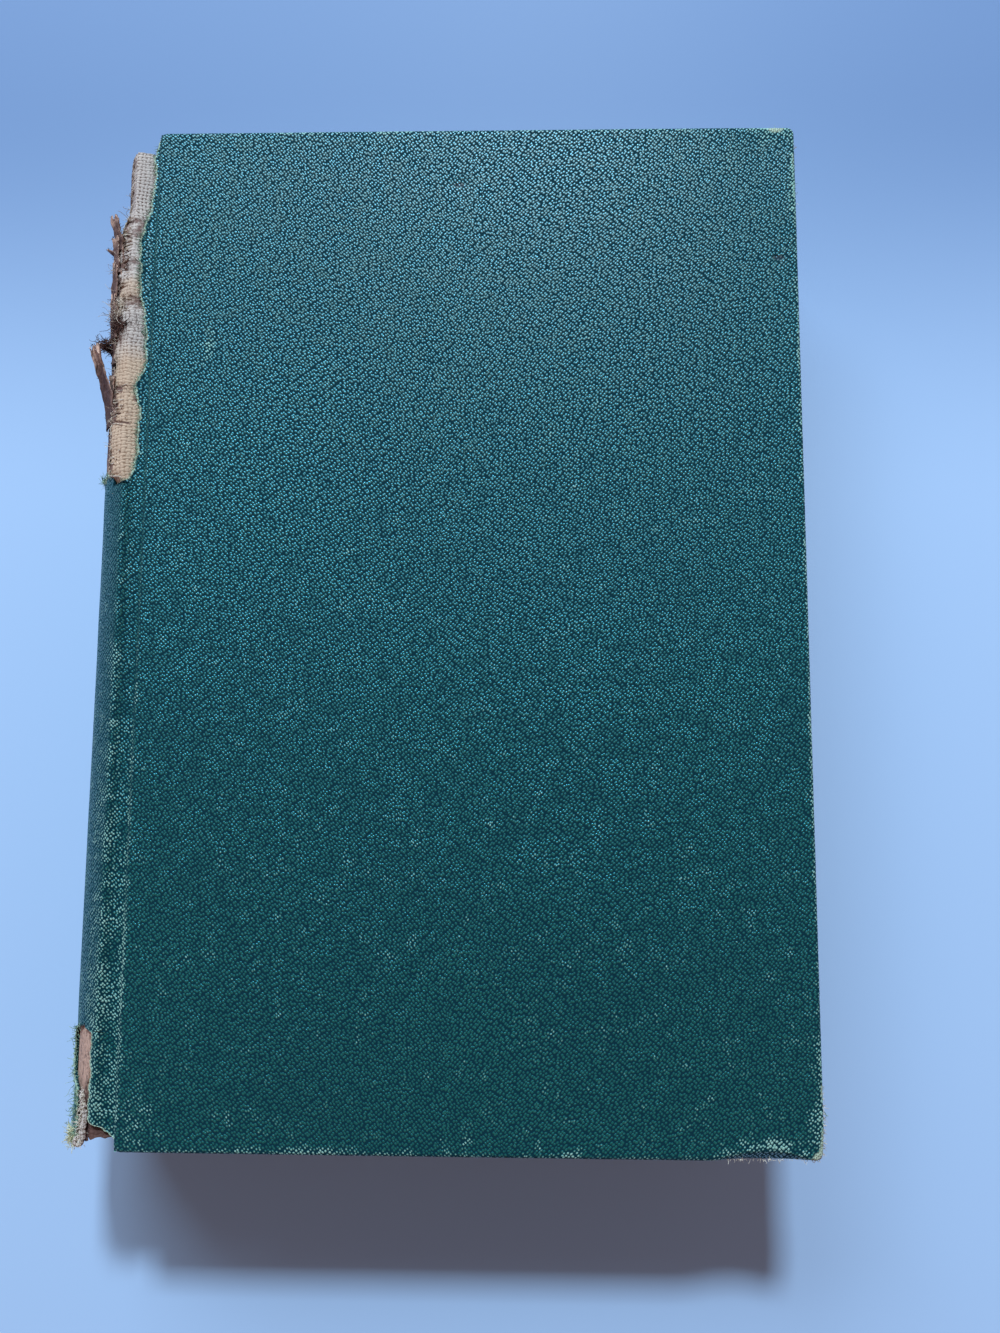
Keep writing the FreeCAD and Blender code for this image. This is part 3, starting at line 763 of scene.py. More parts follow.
def make_cover(side):
    """Cloth of one cover: a grid over the flat of the face, joined to the profile carried round
    the outline. The hinge side stops at the top of the joint, and the turn-ins run on below."""
    x_lines = even_lines(HINGE_FACE + FLAT_REACH, FORE_EDGE - FLAT_REACH)
    y_lines = even_lines(TAIL + FLAT_REACH, HEAD - FLAT_REACH)
    grid_x, grid_y = np.meshgrid(x_lines, y_lines)
    flat = np.stack([grid_x, grid_y, np.zeros_like(grid_x)], axis=-1).reshape(-1, 3)
    profile, stretch, cut = cover_profile()
    rings, places = [], []
    for step, (inset, depth) in enumerate(profile):
        plan = cover_outline(x_lines, y_lines, inset, step > cut)
        rings.append(np.column_stack([plan, np.full(len(plan), depth)]))
        places.append(cover_outline(x_lines, y_lines, FLAT_REACH - stretch[step], False))
    around = len(rings[0])
    ring_points = np.concatenate(rings)
    faces = grid_faces(len(profile), around, closed=True)[:, ::-1]
    faces = faces.reshape(len(profile) - 1, around, 4)
    hinge_side = np.arange(around) >= around - len(y_lines) - 1
    keep = ~((np.arange(len(profile) - 1) >= cut)[:, None] & hinge_side[None])
    faces = faces[keep]
    points = np.concatenate([flat, ring_points])
    faces = np.concatenate([grid_faces(len(y_lines), len(x_lines)), faces + len(flat)])
    uv = np.concatenate([flat[:, :2], np.concatenate(places)])
    shaped = shape_cover(points, side)
    front = side == "front"
    x, y = points[:, 0], points[:, 1]
    near_edge = np.minimum.reduce([x - HINGE_FACE, FORE_EDGE - x, y - TAIL, HEAD - y])
    rim = bell(near_edge, 0.3, 0.5) * (points[:, 2] < 1.6)
    wear = 0.42 * rim * (0.4 + 0.9 * smooth_noise(x, y, 7.0, 5))
    outside = points[:, 2] < 2.6
    wear = wear + spots(x, y, FRONT_RUBS if front else BACK_RUBS) * outside
    wear = wear + 0.10 * smooth_noise(x, y, 30.0, 8) + 0.03 * ease(-y, -20, 90)
    if front:
        crest = bell(y, rolled_edge(x) + 0.3, 0.75) * ease(x, 50.0, 60.0)
        tucked = ease(rolled_edge(x) - y, 0.3, 1.0) * ease(x, 56.0, 60.0)
        wear = wear + (0.55 * crest - 0.5 * tucked) * outside
    bare = spots(x, y, FRONT_BARE if front else BACK_BARE) * (points[:, 2] < 3.2)
    extras = {"UVMap": uv, "wear": np.clip(wear, 0, 1.4), "bare": np.clip(bare, 0, 1)}
    shaped, faces, extras = merged(shaped, faces, extras)
    shaped[:, 2] = THICK - shaped[:, 2] if front else shaped[:, 2]
    if not front:
        faces = faces[:, ::-1]
    shaped, faces, extras = thickened(shaped, faces, CLOTH * 0.9, extras)
    piece = put_mesh(f"{side}_cover_cloth", shaped, faces, book_cloth, extras)
    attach(piece, f"{side}_cover")
    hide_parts(f"{side}_cloth")


make_cover("front")
make_cover("back")


# Joints: cloth from the board's hinge face, down the groove and up over the hinge line
GROOVE = 1.3
SEAM_ANGLE = 46.0


def joint_line():
    """Section of the joint's outer face, as (x, depth) by the length of cloth from the board:
    down the board's face, a quarter turn into the groove, up to the crest and on round the
    spine. The corners are rounded by averaging over a short window."""
    down = [(HINGE_FACE + 0.04, depth) for depth in np.linspace(0.9, BOARD - GROOVE, 8)]
    turn = np.radians(np.linspace(0, 90, 16))
    foot = [
        (HINGE_FACE - GROOVE * (1 - np.cos(a)), BOARD - GROOVE * (1 - np.sin(a))) for a in turn
    ]
    run, rise = (HINGE_FACE - GROOVE) - (HINGE_X + 0.35), BOARD - HINGE_DROP + 0.25
    sweep = arc_radius(run, rise)
    slope = np.linspace(0, np.arcsin(run / sweep), 24)
    up = [(HINGE_FACE - GROOVE - sweep * np.sin(a), BOARD - sweep * (1 - np.cos(a))) for a in slope]
    angles = np.radians(np.linspace(HINGE_ANGLE - 0.6, SEAM_ANGLE - 6, 40))
    spine = [
        (SPINE_CENTRE - SPINE_RADIUS * np.cos(a), MIDDLE - SPINE_RADIUS * np.sin(a)) for a in angles
    ]
    path = np.array(down + foot[1:] + up[1:] + spine)
    length = run_along(path)
    even = np.arange(0, length[-1], 0.05)
    path = np.stack([np.interp(even, length, path[:, k]) for k in (0, 1)], axis=-1)
    window = np.hanning(19)[1:-1]
    window /= window.sum()
    padded = np.concatenate([np.repeat(path[:1], 8, axis=0), path, np.repeat(path[-1:], 8, axis=0)])
    path = np.stack([np.convolve(padded[:, k], window, "valid") for k in (0, 1)], axis=-1)
    return even, path


JOINT_LENGTH, JOINT_PATH = joint_line()
ANGLE_ALONG = np.degrees(np.arctan2(MIDDLE - JOINT_PATH[:, 1], SPINE_CENTRE - JOINT_PATH[:, 0]))
SEAM_LENGTH = float(np.interp(-SEAM_ANGLE, -ANGLE_ALONG[70:], JOINT_LENGTH[70:]))
CREST_LENGTH = float(JOINT_LENGTH[60 + np.argmin(JOINT_PATH[60:, 1])])


def on_joint(length):
    """Place across the book and depth of the joint's face at a length of cloth."""
    return (np.interp(length, JOINT_LENGTH, JOINT_PATH[:, k]) for k in (0, 1))



# Torn edge of the front joint: height above the tail, distance spinewards of the board's face
TORN_JOINT = [
    (-1.0, 0.3), (2.0, 0.6), (3.0, 2.0), (4.4, 3.4), (5.4, 5.4), (6.0, 6.0), (9.0, 6.2),
    (14.0, 6.0), (20.0, 6.1), (23.5, 6.3), (24.6, 99.0), (140.4, 99.0), (140.8, 5.9),
    (141.5, 4.2), (142.8, 3.7), (144.0, 3.2), (145.5, 2.9), (147.8, 2.7), (153.0, 2.8),
    (154.8, 2.7), (156.2, 2.1), (157.5, 2.3), (159.0, 2.7), (160.2, 3.1), (161.5, 3.3),
    (162.8, 3.6), (164.0, 3.4), (165.0, 3.1), (166.2, 2.4), (167.5, 1.9), (169.2, 1.7),
    (172.8, 2.0), (178.8, 2.3), (181.0, 2.5), (182.5, 2.8), (184.0, 3.3), (185.5, 3.7),
    (192.0, 3.8), (197.8, 4.0), (199.0, 3.7), (200.2, 3.3), (202.0, 3.1), (203.8, 2.5),
    (207.5, 2.0), (212.0, 1.4), (218.0, 1.7), (223.0, 0.3),
]


def joint_reach(y, side):
    """Length of cloth from the board to the joint's free or torn edge, for each height."""
    if side == "back":
        torn = y - TAIL > 160.0
        return np.where(torn, CREST_LENGTH + 0.6, SEAM_LENGTH)
    out = read_off(y - TAIL, TORN_JOINT)
    length = np.interp(-(HINGE_FACE - out), -JOINT_PATH[20:, 0], JOINT_LENGTH[20:])
    return np.where(out > 9, SEAM_LENGTH, np.minimum(length, SEAM_LENGTH))


def make_joint(side):
    """The joint's sheet: rows along the book, and columns by length of cloth from the board to
    the edge, whose reach changes from row to row. Its torn edge is frayed by fine noise."""
    front = side == "front"
    y = np.arange(TAIL + 0.05, HEAD - 0.04, 0.4)
    reach = joint_reach(y, side)
    torn = reach < SEAM_LENGTH - 0.01
    fray = 0.28 * ragged(y, 0.45, 41) + 0.22 * ragged(y, 1.7, 42)
    reach = reach + np.where(torn, fray, 0.0)
    share = np.linspace(0, 1, 34)
    length = (reach + np.where(torn, 0.0, 0.5))[:, None] * share[None]
    x, depth = on_joint(length)
    rows = np.broadcast_to(y[:, None], x.shape)
    seed = 51 if front else 61
    free = ease(length, 0.8, 2.0) * ease(SEAM_LENGTH - length, 0.0, 1.5)
    depth = depth + free * 0.12 * (smooth_noise(length * 3, rows, 6.0, seed) - 0.5)
    lift = torn[:, None] * ease(length - reach[:, None], -0.9, 0.0)
    depth = depth - lift * 0.3 * smooth_noise(length, rows, 2.2, seed + 1)
    points = np.stack([x, rows, THICK - depth if front else depth], axis=-1)
    crest, foot = bell(length, CREST_LENGTH, 1.3), bell(length, 1.0, 0.8)
    low = ease(-rows, -40.0, 80.0)
    patch = 0.4 + 0.9 * rough_noise(length * 2, rows, 12.0, seed + 2)
    wear = (0.3 * crest + 0.62 * low + (0.2 + 0.45 * low) * foot) * patch + 0.9 * lift
    bare = np.clip(0.9 * lift - 0.15, 0, 1)
    thick = CLOTH * (0.92 - 0.5 * lift)
    uv = np.stack([HINGE_FACE - 1.0 - length, rows], axis=-1)
    piece = put_sheet(
        f"{side}_joint_cloth", points, thick, book_cloth, flip=front,
        UVMap=uv, wear=np.clip(wear, 0, 1.4), bare=bare,
    )
    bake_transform(piece)


make_joint("front")
make_joint("back")


# Spine
def on_spine(angle, y, lift=0.0):
    """Point of the spine's round: angle above the middle in degrees, height, lift off the cloth."""
    turn, reach = np.radians(angle), SPINE_RADIUS + lift
    x = SPINE_CENTRE - reach * np.cos(turn)
    z = MIDDLE + reach * np.sin(turn)
    return np.stack(np.broadcast_arrays(x, y, z), axis=-1)


# Torn head of the spine cloth: angle, height above the tail
TORN_HEAD = [
    (-48, 159.5), (-37, 155.5), (-25, 151.0), (-11, 146.5), (3, 143.0), (16, 144.2), (28, 142.9),
    (37, 143.2), (48, 143.2),
]
# Front edge of the spine cloth beside the split at the tail: height above the tail, angle
SPLIT_EDGE = [
    (-1.0, 39.5), (3.0, 40.5), (8.0, 40.0), (11.0, 39.0), (12.2, 33.0), (13.2, 26.0),
    (16.0, 22.0), (20.0, 21.0), (22.2, 24.0), (23.4, 34.0), (24.8, SEAM_ANGLE), (300.0, SEAM_ANGLE),
]
SPLIT_TOP = 24.0


def make_spine_cloth():
    """The spine's sheet: rows from the tail to the torn head, columns round the spine from the
    back joint to the front one, where the split at the tail draws the edge in."""
    share = np.linspace(0, 1, 330)[:, None]
    column = np.linspace(0, 1, 76)[None]
    guess = -SEAM_ANGLE + 2 * SEAM_ANGLE * column
    head = read_off(guess, TORN_HEAD)
    arc = np.radians(guess) * SPINE_RADIUS
    head = head + 0.7 * ragged(arc, 1.2, 71) + 0.5 * ragged(arc, 0.5, 72)
    low = 0.15 + 0.25 * np.abs(ragged(arc, 0.8, 73))
    height = low + (head - low) * share
    split = read_off(height, SPLIT_EDGE)
    inside = height < SPLIT_TOP
    split = split + np.where(inside, 0.8 * ragged(height, 0.6, 74), 0.0)
    angle = -SEAM_ANGLE + (split + SEAM_ANGLE) * column
    rows = TAIL + height
    top = ease(head - height, 1.4, 0.0)
    edge = inside * ease(split - angle, 1.6, 0.0)
    lift = 0.5 * top * smooth_noise(arc, rows, 2.5, 75) + 0.35 * edge
    wave = 0.12 * (smooth_noise(arc * 2, rows, 9.0, 76) - 0.5)
    lift = lift + wave * ease(SEAM_ANGLE - np.abs(angle), 0, 5)
    points = on_spine(angle, rows, lift)
    band = 0.45 * bell(angle, 33.0, 6.0) + 0.5 * bell(angle, 47.0, 5.0)
    band = band * (0.35 + 0.8 * ease(-rows, -20.0, 90.0))
    band = band * (0.5 + 0.8 * smooth_noise(arc, rows, 8.0, 77))
    ends = ease(height, 6.0, 0.0) * 0.8
    wear = band + ends + 0.9 * top + edge + 0.15 * smooth_noise(arc, rows, 14.0, 78)
    bare = np.clip(1.1 * top + 0.8 * edge + ease(height, 1.6, 0.0) * 0.8 - 0.25, 0, 1)
    thick = CLOTH * (0.95 - 0.5 * np.maximum(top, edge))
    uv_x = HINGE_FACE - 1.0 - SEAM_LENGTH - (SEAM_ANGLE - angle) * np.pi / 180 * SPINE_RADIUS
    uv = np.stack([uv_x, np.broadcast_to(rows, uv_x.shape)], axis=-1)
    piece = put_sheet(
        "spine_outer_cloth", points, thick, book_cloth,
        UVMap=uv, wear=np.clip(wear, 0, 1.4), bare=bare,
    )
    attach(piece, "block")
    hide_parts("spine_cloth")


make_spine_cloth()

# Mull: open-woven cotton round the block's spine and over both shoulders. It lies bare from a
# height above the tail on, and beyond the strip's torn edge, a length from the spine's middle
SHOULDER_RUN = 3.8
BARE_FROM = 138.0
STRIP_SIDE = 14.0


def mull_line():
    """Section of the mull's outer face, as (x, distance from mid-thickness) by length from the
    spine's middle towards the front: the spine's arc, the shoulder and the slope to its foot."""
    shoulder = MULL_HIGH[0] - SHOULDER_RUN
    bow, half = shoulder - MULL_LOW[0], MULL_HIGH[2] - MIDDLE
    radius = arc_radius(half, bow)
    turn = np.linspace(0, np.arcsin(half / radius), 60)
    arc = np.stack([MULL_LOW[0] + radius * (1 - np.cos(turn)), radius * np.sin(turn)], axis=-1)
    foot = np.array([[MULL_HIGH[0], BLOCK_HIGH[2] - MIDDLE - 0.9]])
    path = np.concatenate([arc, foot])
    return run_along(path), path


MULL_LENGTH, MULL_PATH = mull_line()


def on_mull(length, y, lift=0.0):
    """Point of the mull: length from the spine's middle, positive towards the front cover,
    height, and lift off the cloth along its normal."""
    away = np.abs(length)
    x = np.interp(away, MULL_LENGTH, MULL_PATH[:, 0])
    z = np.interp(away, MULL_LENGTH, MULL_PATH[:, 1])
    lean_x = np.gradient(MULL_PATH[:, 0], MULL_LENGTH)
    lean_z = np.gradient(MULL_PATH[:, 1], MULL_LENGTH)
    normal_x = -np.interp(away, MULL_LENGTH, lean_z)
    normal_z = np.interp(away, MULL_LENGTH, lean_x)
    side = np.sign(length) + (np.asarray(length) == 0)
    points = (x + lift * normal_x, y, MIDDLE + side * (z + lift * normal_z))
    return np.stack(np.broadcast_arrays(*points), axis=-1)


def mull_swell(length, height):
    """How far the loosened mull stands off the block beside the front shoulder: a bell, steeper
    towards the spine's middle, between the torn cloth and the head's firm part."""
    away = np.asarray(length) - 14.7
    bell = np.exp(-((away / np.where(away < 0, 1.6, 2.7)) ** 2))
    return 2.0 * bell * ease(height, 207.0, 199.0) * ease(height, 140.6, 144.0)


# Torn head of the mull: length from the middle, drop from the block's head
MULL_HEAD = [
    (-30, 1.0), (-20, 2.0), (-12, 0.8), (-3, 1.6), (5, 0.7), (12, 1.2), (17.5, 0.4), (30, 0.4),
]
# Brown spots of the mull: length from the middle, height, half width, half height, strength
MULL_SPOTS = [(15.2, 217.0, 1.0, 2.2, 0.7), (14.8, 210.0, 0.6, 1.5, 0.35)]
# Worn ladders of the mull: heights above the tail
LADDERS = [(156.5, 163.5), (181.0, 184.5), (190.0, 203.0)]


def make_mull():
    """The mull's sheet: columns round the spine, rows closer together where it lies bare. It is
    wrinkled, swollen beside the shoulder, cracked across the glue and worn into ladders."""
    total = MULL_LENGTH[-1]
    length = np.concatenate([np.linspace(-total, 10, 60), np.linspace(10, total, 60)[1:]])[None]
    bare_from, tail_end = TAIL + BARE_FROM, TAIL + 16
    rows = np.concatenate([
        np.arange(BLOCK_LOW[1] + 0.2, tail_end, 0.5), np.arange(tail_end, bare_from, 4.0),
        np.arange(bare_from, BLOCK_HIGH[1], 0.3), [BLOCK_HIGH[1]],
    ])[:, None]
    share = (rows - rows[0]) / (rows[-1] - rows[0])
    drop = read_off(length, MULL_HEAD) + 0.5 * np.abs(ragged(length, 0.7, 81))
    y = rows - drop * ease(rows, bare_from, BLOCK_HIGH[1]) * share
    y = y - (1 - share) ** 20 * (1.1 + 0.3 * ragged(length, 0.9, 80)) * ease(length, 9.0, 11.0)
    height = y - TAIL
    bared = ease(height, BARE_FROM, BARE_FROM + 4)
    ladders = sum(
        ease(height, low - 0.6, low + 0.6) * ease(height, high + 0.6, high - 0.6)
        for low, high in LADDERS
    )
    ladders = ladders * ease(length, 13.5, 14.5) * ease(rough_noise(length, y, 2.6, 87), 0.3, 0.6)
    crack_at = 155.2 - 0.22 * (length - 15.0)
    crack = bell(height, crack_at, 0.26) * ease(length, 14.4, 15.2) * ease(length, 19.6, 18.4)
    wrinkles = 0.22 * (rough_noise(length, y, 5.0, 82) - 0.4)
    wrinkles = wrinkles + 0.16 * rough_noise(length, y, 1.3, 83)
    at_head = ease(y, BLOCK_HIGH[1] - 3.5, BLOCK_HIGH[1])
    lift = bared * wrinkles
    lift = lift + mull_swell(length, height) * (0.8 + 0.3 * smooth_noise(length, y, 3.0, 88))
    lift = lift + 0.3 * at_head * smooth_noise(length, y, 1.5, 84)
    lift = lift - 0.35 * crack - 0.35 * ladders
    points = on_mull(length, y, lift)
    stain = ease(height, 182, 160) * 0.8 + 0.35 * rough_noise(length, y, 8.0, 85)
    stain = stain + 0.4 * ease(height, 181, 185) * ease(height, 192, 187)
    gaps = ladders * ease(rough_noise(length, y, 1.1, 89), 0.3, 0.6)
    gaps = gaps * (0.7 + 0.3 * ease(height, 170, 160))
    patches = ease(rough_noise(length, y, 2.4, 86), 0.56, 0.7) * ease(length, 17.4, 15.6)
    under_strip = ease(length, STRIP_SIDE - 0.1, STRIP_SIDE - 1.0)
    brown = ease(height, 7.0, 4.0) + gaps + 1.2 * crack + bared * (0.8 * patches + under_strip)
    brown = brown + spots(length, height, MULL_SPOTS)
    uv = np.stack(np.broadcast_arrays(length, y), axis=-1)
    piece = put_sheet(
        "mull_sheet", points, 0.28, mull_cloth, flip=True, UVMap=uv,
        stain=np.broadcast_to(stain, y.shape), brown=np.broadcast_to(brown, y.shape),
    )
    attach(piece, "block")
    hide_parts("mull")


make_mull()

# Brown paper lining. Torn head: length from the middle, height above the tail
LINING_HEAD = [(-15, 192), (-9, 189), (-6, 184), (0, 181), (4, 183), (8, 189), (11, 196), (15, 199)]


def make_spine_lining():
    """The lining's sheet: glued on the mull, with a torn and lifted head and creased by age."""
    half = STRIP_SIDE
    across = np.linspace(-half, half, 60)[None]
    low = TAIL + 5.0
    head = TAIL + read_off(across, LINING_HEAD)
    head = head + 1.3 * ragged(across, 2.4, 91) + 0.7 * ragged(across, 0.8, 92)
    share = np.concatenate([np.linspace(0, 0.7, 30), np.linspace(0.702, 1, 200)])[:, None]
    y = low + (head - low) * share
    torn_side = 0.5 * ragged(y, 1.6, 95) + 0.4 * ragged(y, 0.5, 96)
    length = across + torn_side * ease(across, 10, half) * ease(y, TAIL + 136, TAIL + 142)
    edge = ease(y, head - 3.0, head)
    curl = 0.35 * edge * smooth_noise(length, y, 3.0, 93)
    lift = 0.36 + curl + 0.08 * smooth_noise(length, y, 2.0, 94)
    points = on_mull(length, y, lift + mull_swell(length, y - TAIL))
    torn = ease(y, head - 1.6, head - 0.2) + ease(np.abs(length), half - 0.9, half)
    piece = put_sheet(
        "spine_lining_paper", points, 0.25 - 0.15 * edge, kraft_paper, flip=True,
        torn=np.broadcast_to(torn, y.shape),
    )
    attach(piece, "block")
    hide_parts("spine_lining")


make_spine_lining()

# Card strip of the hollow back. Torn head: angle, height above the tail
STRIP_HEAD = [
    (-50, 189), (-38, 191), (-25, 196), (-11, 199), (5, 197), (20, 199), (26, 200.5), (33, 199),
    (37, 201), (60, 197),
]
# Its front edge: height above the tail, angle
STRIP_EDGE = [
    (0, 50), (12, 47), (14, 49.5), (24, 49.5), (25, 47), (139, 47), (141, 42.5), (143, 40.5),
    (150, 40.3), (159, 40.5), (165, 40.0), (171, 38.5), (179, 39), (184, 41), (190, 43),
    (197, 42.5), (203, 40),
]
STRIP_BACK = -50.0


def make_spine_strip():
    """The strip's sheet: rows from the tail to its torn head, columns from the back joint to the
    torn front edge. Above the cloth it stands out a little and its torn edges curl outwards."""
    column = np.linspace(0, 1, 80)[None]
    share = np.concatenate([np.linspace(0, 0.62, 70), np.linspace(0.624, 1, 190)])[:, None]
    guess = STRIP_BACK + 93 * column
    head = read_off(guess, STRIP_HEAD)
    head = head + 1.6 * ragged(guess, 3.1, 101) + 1.2 * ragged(guess, 1.3, 102)
    low = STRIP_LOW[1] - TAIL
    height = low + (head - low) * share
    edge = read_off(height, STRIP_EDGE)
    bared = ease(height, 141, 146)
    rough = 0.5 + 1.2 * ease(height, 166, 172)
    edge = edge + bared * rough * (0.9 * ragged(height, 1.9, 103) + 0.6 * ragged(height, 0.6, 104))
    angle = STRIP_BACK + (edge - STRIP_BACK) * column
    y = TAIL + height
    brink = np.maximum(ease(edge - angle, 5.0, 0.0) * bared, ease(head - height, 5.0, 0.0))
    flare = ease(height, 192, 203) * ease(angle, 5, 38)
    arc = np.radians(angle) * SPINE_RADIUS
    lift = -CLOTH - 0.06 + 0.6 * flare + 0.6 * brink * rough_noise(arc, y, 3.0, 105)
    lift = lift + bared * (0.5 + 0.25 * (rough_noise(arc, y, 2.2, 106) - 0.5))
    points = on_spine(angle, y, lift)
    torn = 0.5 * np.clip(ease(edge - angle, 2.2, 0.2) * bared + ease(head - height, 1.5, 0.2), 0, 1)
    torn = torn + 0.3 * ease(rough_noise(arc, y, 4.0, 107), 0.58, 0.7) * bared
    torn = torn + ease(height, 27.0, 25.0) * ease(height, 9.0, 13.0) * ease(angle, 12.0, 18.0)
    thick = 0.55 - 0.4 * brink
    piece = put_sheet("spine_card_strip", points, thick, kraft_card, torn=np.clip(torn, 0, 1))
    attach(piece, "block")
    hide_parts("spine_strip")


make_spine_strip()


# Flakes of torn card: angle at the root, height at the root, length headwards, width, lift at the
# tip, how far the tip leans towards the front in degrees, lift at the root
FLAKES = [
    (36.8, 155.0, 17.5, 7.2, 4.2, -0.5, 0.2),
    (41.5, 157.0, 9.0, 3.0, 0.7, 2.0, 0.1),
    (37.0, 172.4, 2.8, 3.4, 2.7, -9.0, 0.2),
    (38.5, 169.5, 9.5, 2.6, 0.6, 1.0, 0.1),
    (42.5, 174.0, 8.0, 2.4, 0.5, 3.0, 0.2),
    (41.0, 182.0, 10.0, 3.0, 0.3, 3.0, 0.0),
    (44.5, 187.5, 9.5, 2.8, 0.4, 1.0, 0.1),
    (39.0, 195.0, 2.6, 2.4, 1.7, -7.0, 0.1),
    (41.0, 196.0, 8.6, 5.0, 1.1, -0.5, 0.6),
    (40.8, 175.0, 10.5, 3.6, 0.1, 0.5, 0.9),
    (40.4, 183.0, 10.5, 3.6, 0.1, 0.5, 0.9),
    (40.8, 190.5, 9.0, 3.6, 0.2, 0.0, 0.9),
]


def flake(root_angle, root_height, long, wide, tip_lift, lean, root_lift, seed):
    """One curled flake: rows along its length, columns across. Its width tapers towards a torn
    tip, its lift grows faster than its length, and its sides cup upwards."""
    t = np.linspace(0, 1, 26)[:, None]
    s = np.linspace(-1, 1, 13)[None]
    width = wide * (1 - 0.3 * t ** 2) * (1 + 0.3 * ragged(t * long, 1.3, seed))
    length = long * (1 + 0.1 * ragged(s * wide, 0.8, seed + 1) - 0.08 * s)
    degrees = (s * width / 2 + 0.3 * ragged(t * long, 2.0, seed + 2)) / SPINE_RADIUS * 180 / np.pi
    angle = root_angle + degrees + lean * t ** 1.5
    y = TAIL + root_height + length * t
    lift = root_lift + tip_lift * t ** 1.7 + 0.5 * s ** 2 * t
    lift = lift + 0.9 * t * (rough_noise(s * wide, y, 2.2, seed + 3) - 0.5)
    lift = lift + 0.35 * (rough_noise(s * wide, y, 0.9, seed + 4) - 0.5)
    points = on_spine(angle, y, lift)
    thick = 0.5 - 0.3 * np.maximum(t ** 3, np.abs(s) ** 4)
    torn = 0.4 * ease(np.abs(s), 0.7, 1.0) + 0.7 * ease(t, 0.7, 1.0) + 0.12 * t
    return points, thick, torn


def make_flakes():
    """All flakes in one piece, each a closed sheet. Returns the points of their torn edges."""
    parts, masks, faces, edges, count = [], [], [], [], 0
    for number, measures in enumerate(FLAKES):
        points, thick, torn = flake(*measures, seed=200 + 7 * number)
        rows, columns = points.shape[:2]
        edges += [points[4:, 0], points[4:, -1], points[-1]]
        grid = grid_faces(rows, columns)[:, ::-1]
        flat, quads, extras = thickened(
            points.reshape(-1, 3), grid, thick.ravel(),
            {"torn": np.broadcast_to(torn, (rows, columns)).ravel()},
        )
        parts.append(flat)
        masks.append(extras["torn"])
        faces.append(quads + count)
        count += len(flat)
    piece = put_mesh(
        "torn_card_flakes", np.concatenate(parts), np.concatenate(faces), kraft_card,
        {"torn": np.concatenate(masks)},
    )
    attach(piece, "block")
    return np.concatenate(edges)


FLAKE_EDGES = make_flakes()


# Loose threads
def make_threads(name, starts, ways, lengths, thickness, curl, seed, material, body="block"):
    """Fine frayed threads. Each runs from its start along its way, and three sine waves with
    seeded phases curl it more the further it runs; it thins towards its tip."""
    rng = np.random.default_rng(seed)
    count = len(starts)
    t = np.linspace(0, 1, 7)[None, :, None]
    ways = ways / np.linalg.norm(ways, axis=1, keepdims=True)
    paths = starts[:, None] + ways[:, None] * t * lengths[:, None, None]
    for wave in (1, 2, 3):
        phase = rng.uniform(0, 2 * np.pi, (count, 1, 3))
        reach = curl * lengths[:, None, None] * rng.uniform(0.3, 1.0, (count, 1, 3)) / wave
        paths = paths + reach * t * (np.sin(wave * 2.6 * t + phase) - np.sin(phase))
    radius = thickness / 2 * rng.uniform(0.7, 1.25, (count, 1)) * (1 - 0.55 * t[..., 0])
    points, faces = tubes(paths, radius, 4)
    piece = put_mesh(name, points, faces, material)
    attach(piece, body)


def join_up(name, starts, ends, thickness, curl, seed):
    """Cotton threads, each as long as the way from its start to its end."""
    lengths = np.linalg.norm(ends - starts, axis=1)
    make_threads(
        name, starts, ends - starts, lengths, thickness, curl, seed, loose_cotton,
    )


def scattered(rng, count, reach, drift):
    """Directions: a drift and normally scattered parts added to it."""
    return rng.normal(0, reach, (count, 3)) + drift


def make_thread_finish(name, dark, light):
    """Loose fibre: one thread differs from the next."""
    material, tree, surface = new_material(name)
    place = add(tree, "TexCoord").outputs["Object"]
    cloud = noise(tree, place, 900.0, 3.0, 0.7).outputs[0]
    tone = mixed(tree, spread(tree, cloud, 0.35, 0.65), dark, light)
    feed(tree, tone, surface["Base Color"])
    matt(surface, 0.9, 0.2)
    bumped(tree, surface, cloud, 0.00005)
    return material


loose_cotton = make_thread_finish("loose_cotton", (160, 142, 126), (238, 228, 212))
loose_green = make_thread_finish("loose_green_cotton", (48, 96, 84), (176, 200, 172))
loose_brown = make_thread_finish("loose_brown_fibre", (40, 24, 28), (118, 88, 80))
loose_yellow = make_thread_finish("loose_yellow_cotton", (170, 164, 128), (226, 222, 186))


# Bands of loose weft: heights above the tail and number of threads
WEFT_BANDS = [
    (187, 204, 34), (180.6, 184.6, 11), (156.0, 164.0, 18), (142, 155.5, 16), (203, 218, 14),
]


def crossing_threads():
    """Weft threads left across the mull's ladders, and the stitch-like row of threads beside the
    strip's slit: each runs from one length round the spine to another."""
    rng = np.random.default_rng(301)
    height = np.concatenate([np.linspace(*band) for band in WEFT_BANDS])
    height = height + rng.normal(0, 0.10, len(height))
    start = 14.2 + rng.uniform(-0.9, 0.9, len(height))
    end = start + rng.uniform(2.2, 4.6, len(height))
    starts = on_mull(start, TAIL + height, mull_swell(start, height) + 0.5)
    slope = rng.normal(0, 0.4, len(height))
    ends = on_mull(end, TAIL + height + slope, mull_swell(end, height) + 0.7)
    join_up("loose_weft", starts, ends, 0.42, 0.06, 302)
    height = np.arange(140.6, 160.5, 0.46) + rng.normal(0, 0.07, 44)
    start = STRIP_SIDE + rng.normal(0, 0.12, len(height))
    end = start + 1.1
    starts = on_mull(start, TAIL + height, mull_swell(start, height) + 0.3)
    slope = rng.normal(0, 0.2, len(height))
    ends = on_mull(end, TAIL + height + slope, mull_swell(end, height) + 0.55)
    join_up("edge_threads", starts, ends, 0.36, 0.12, 303)


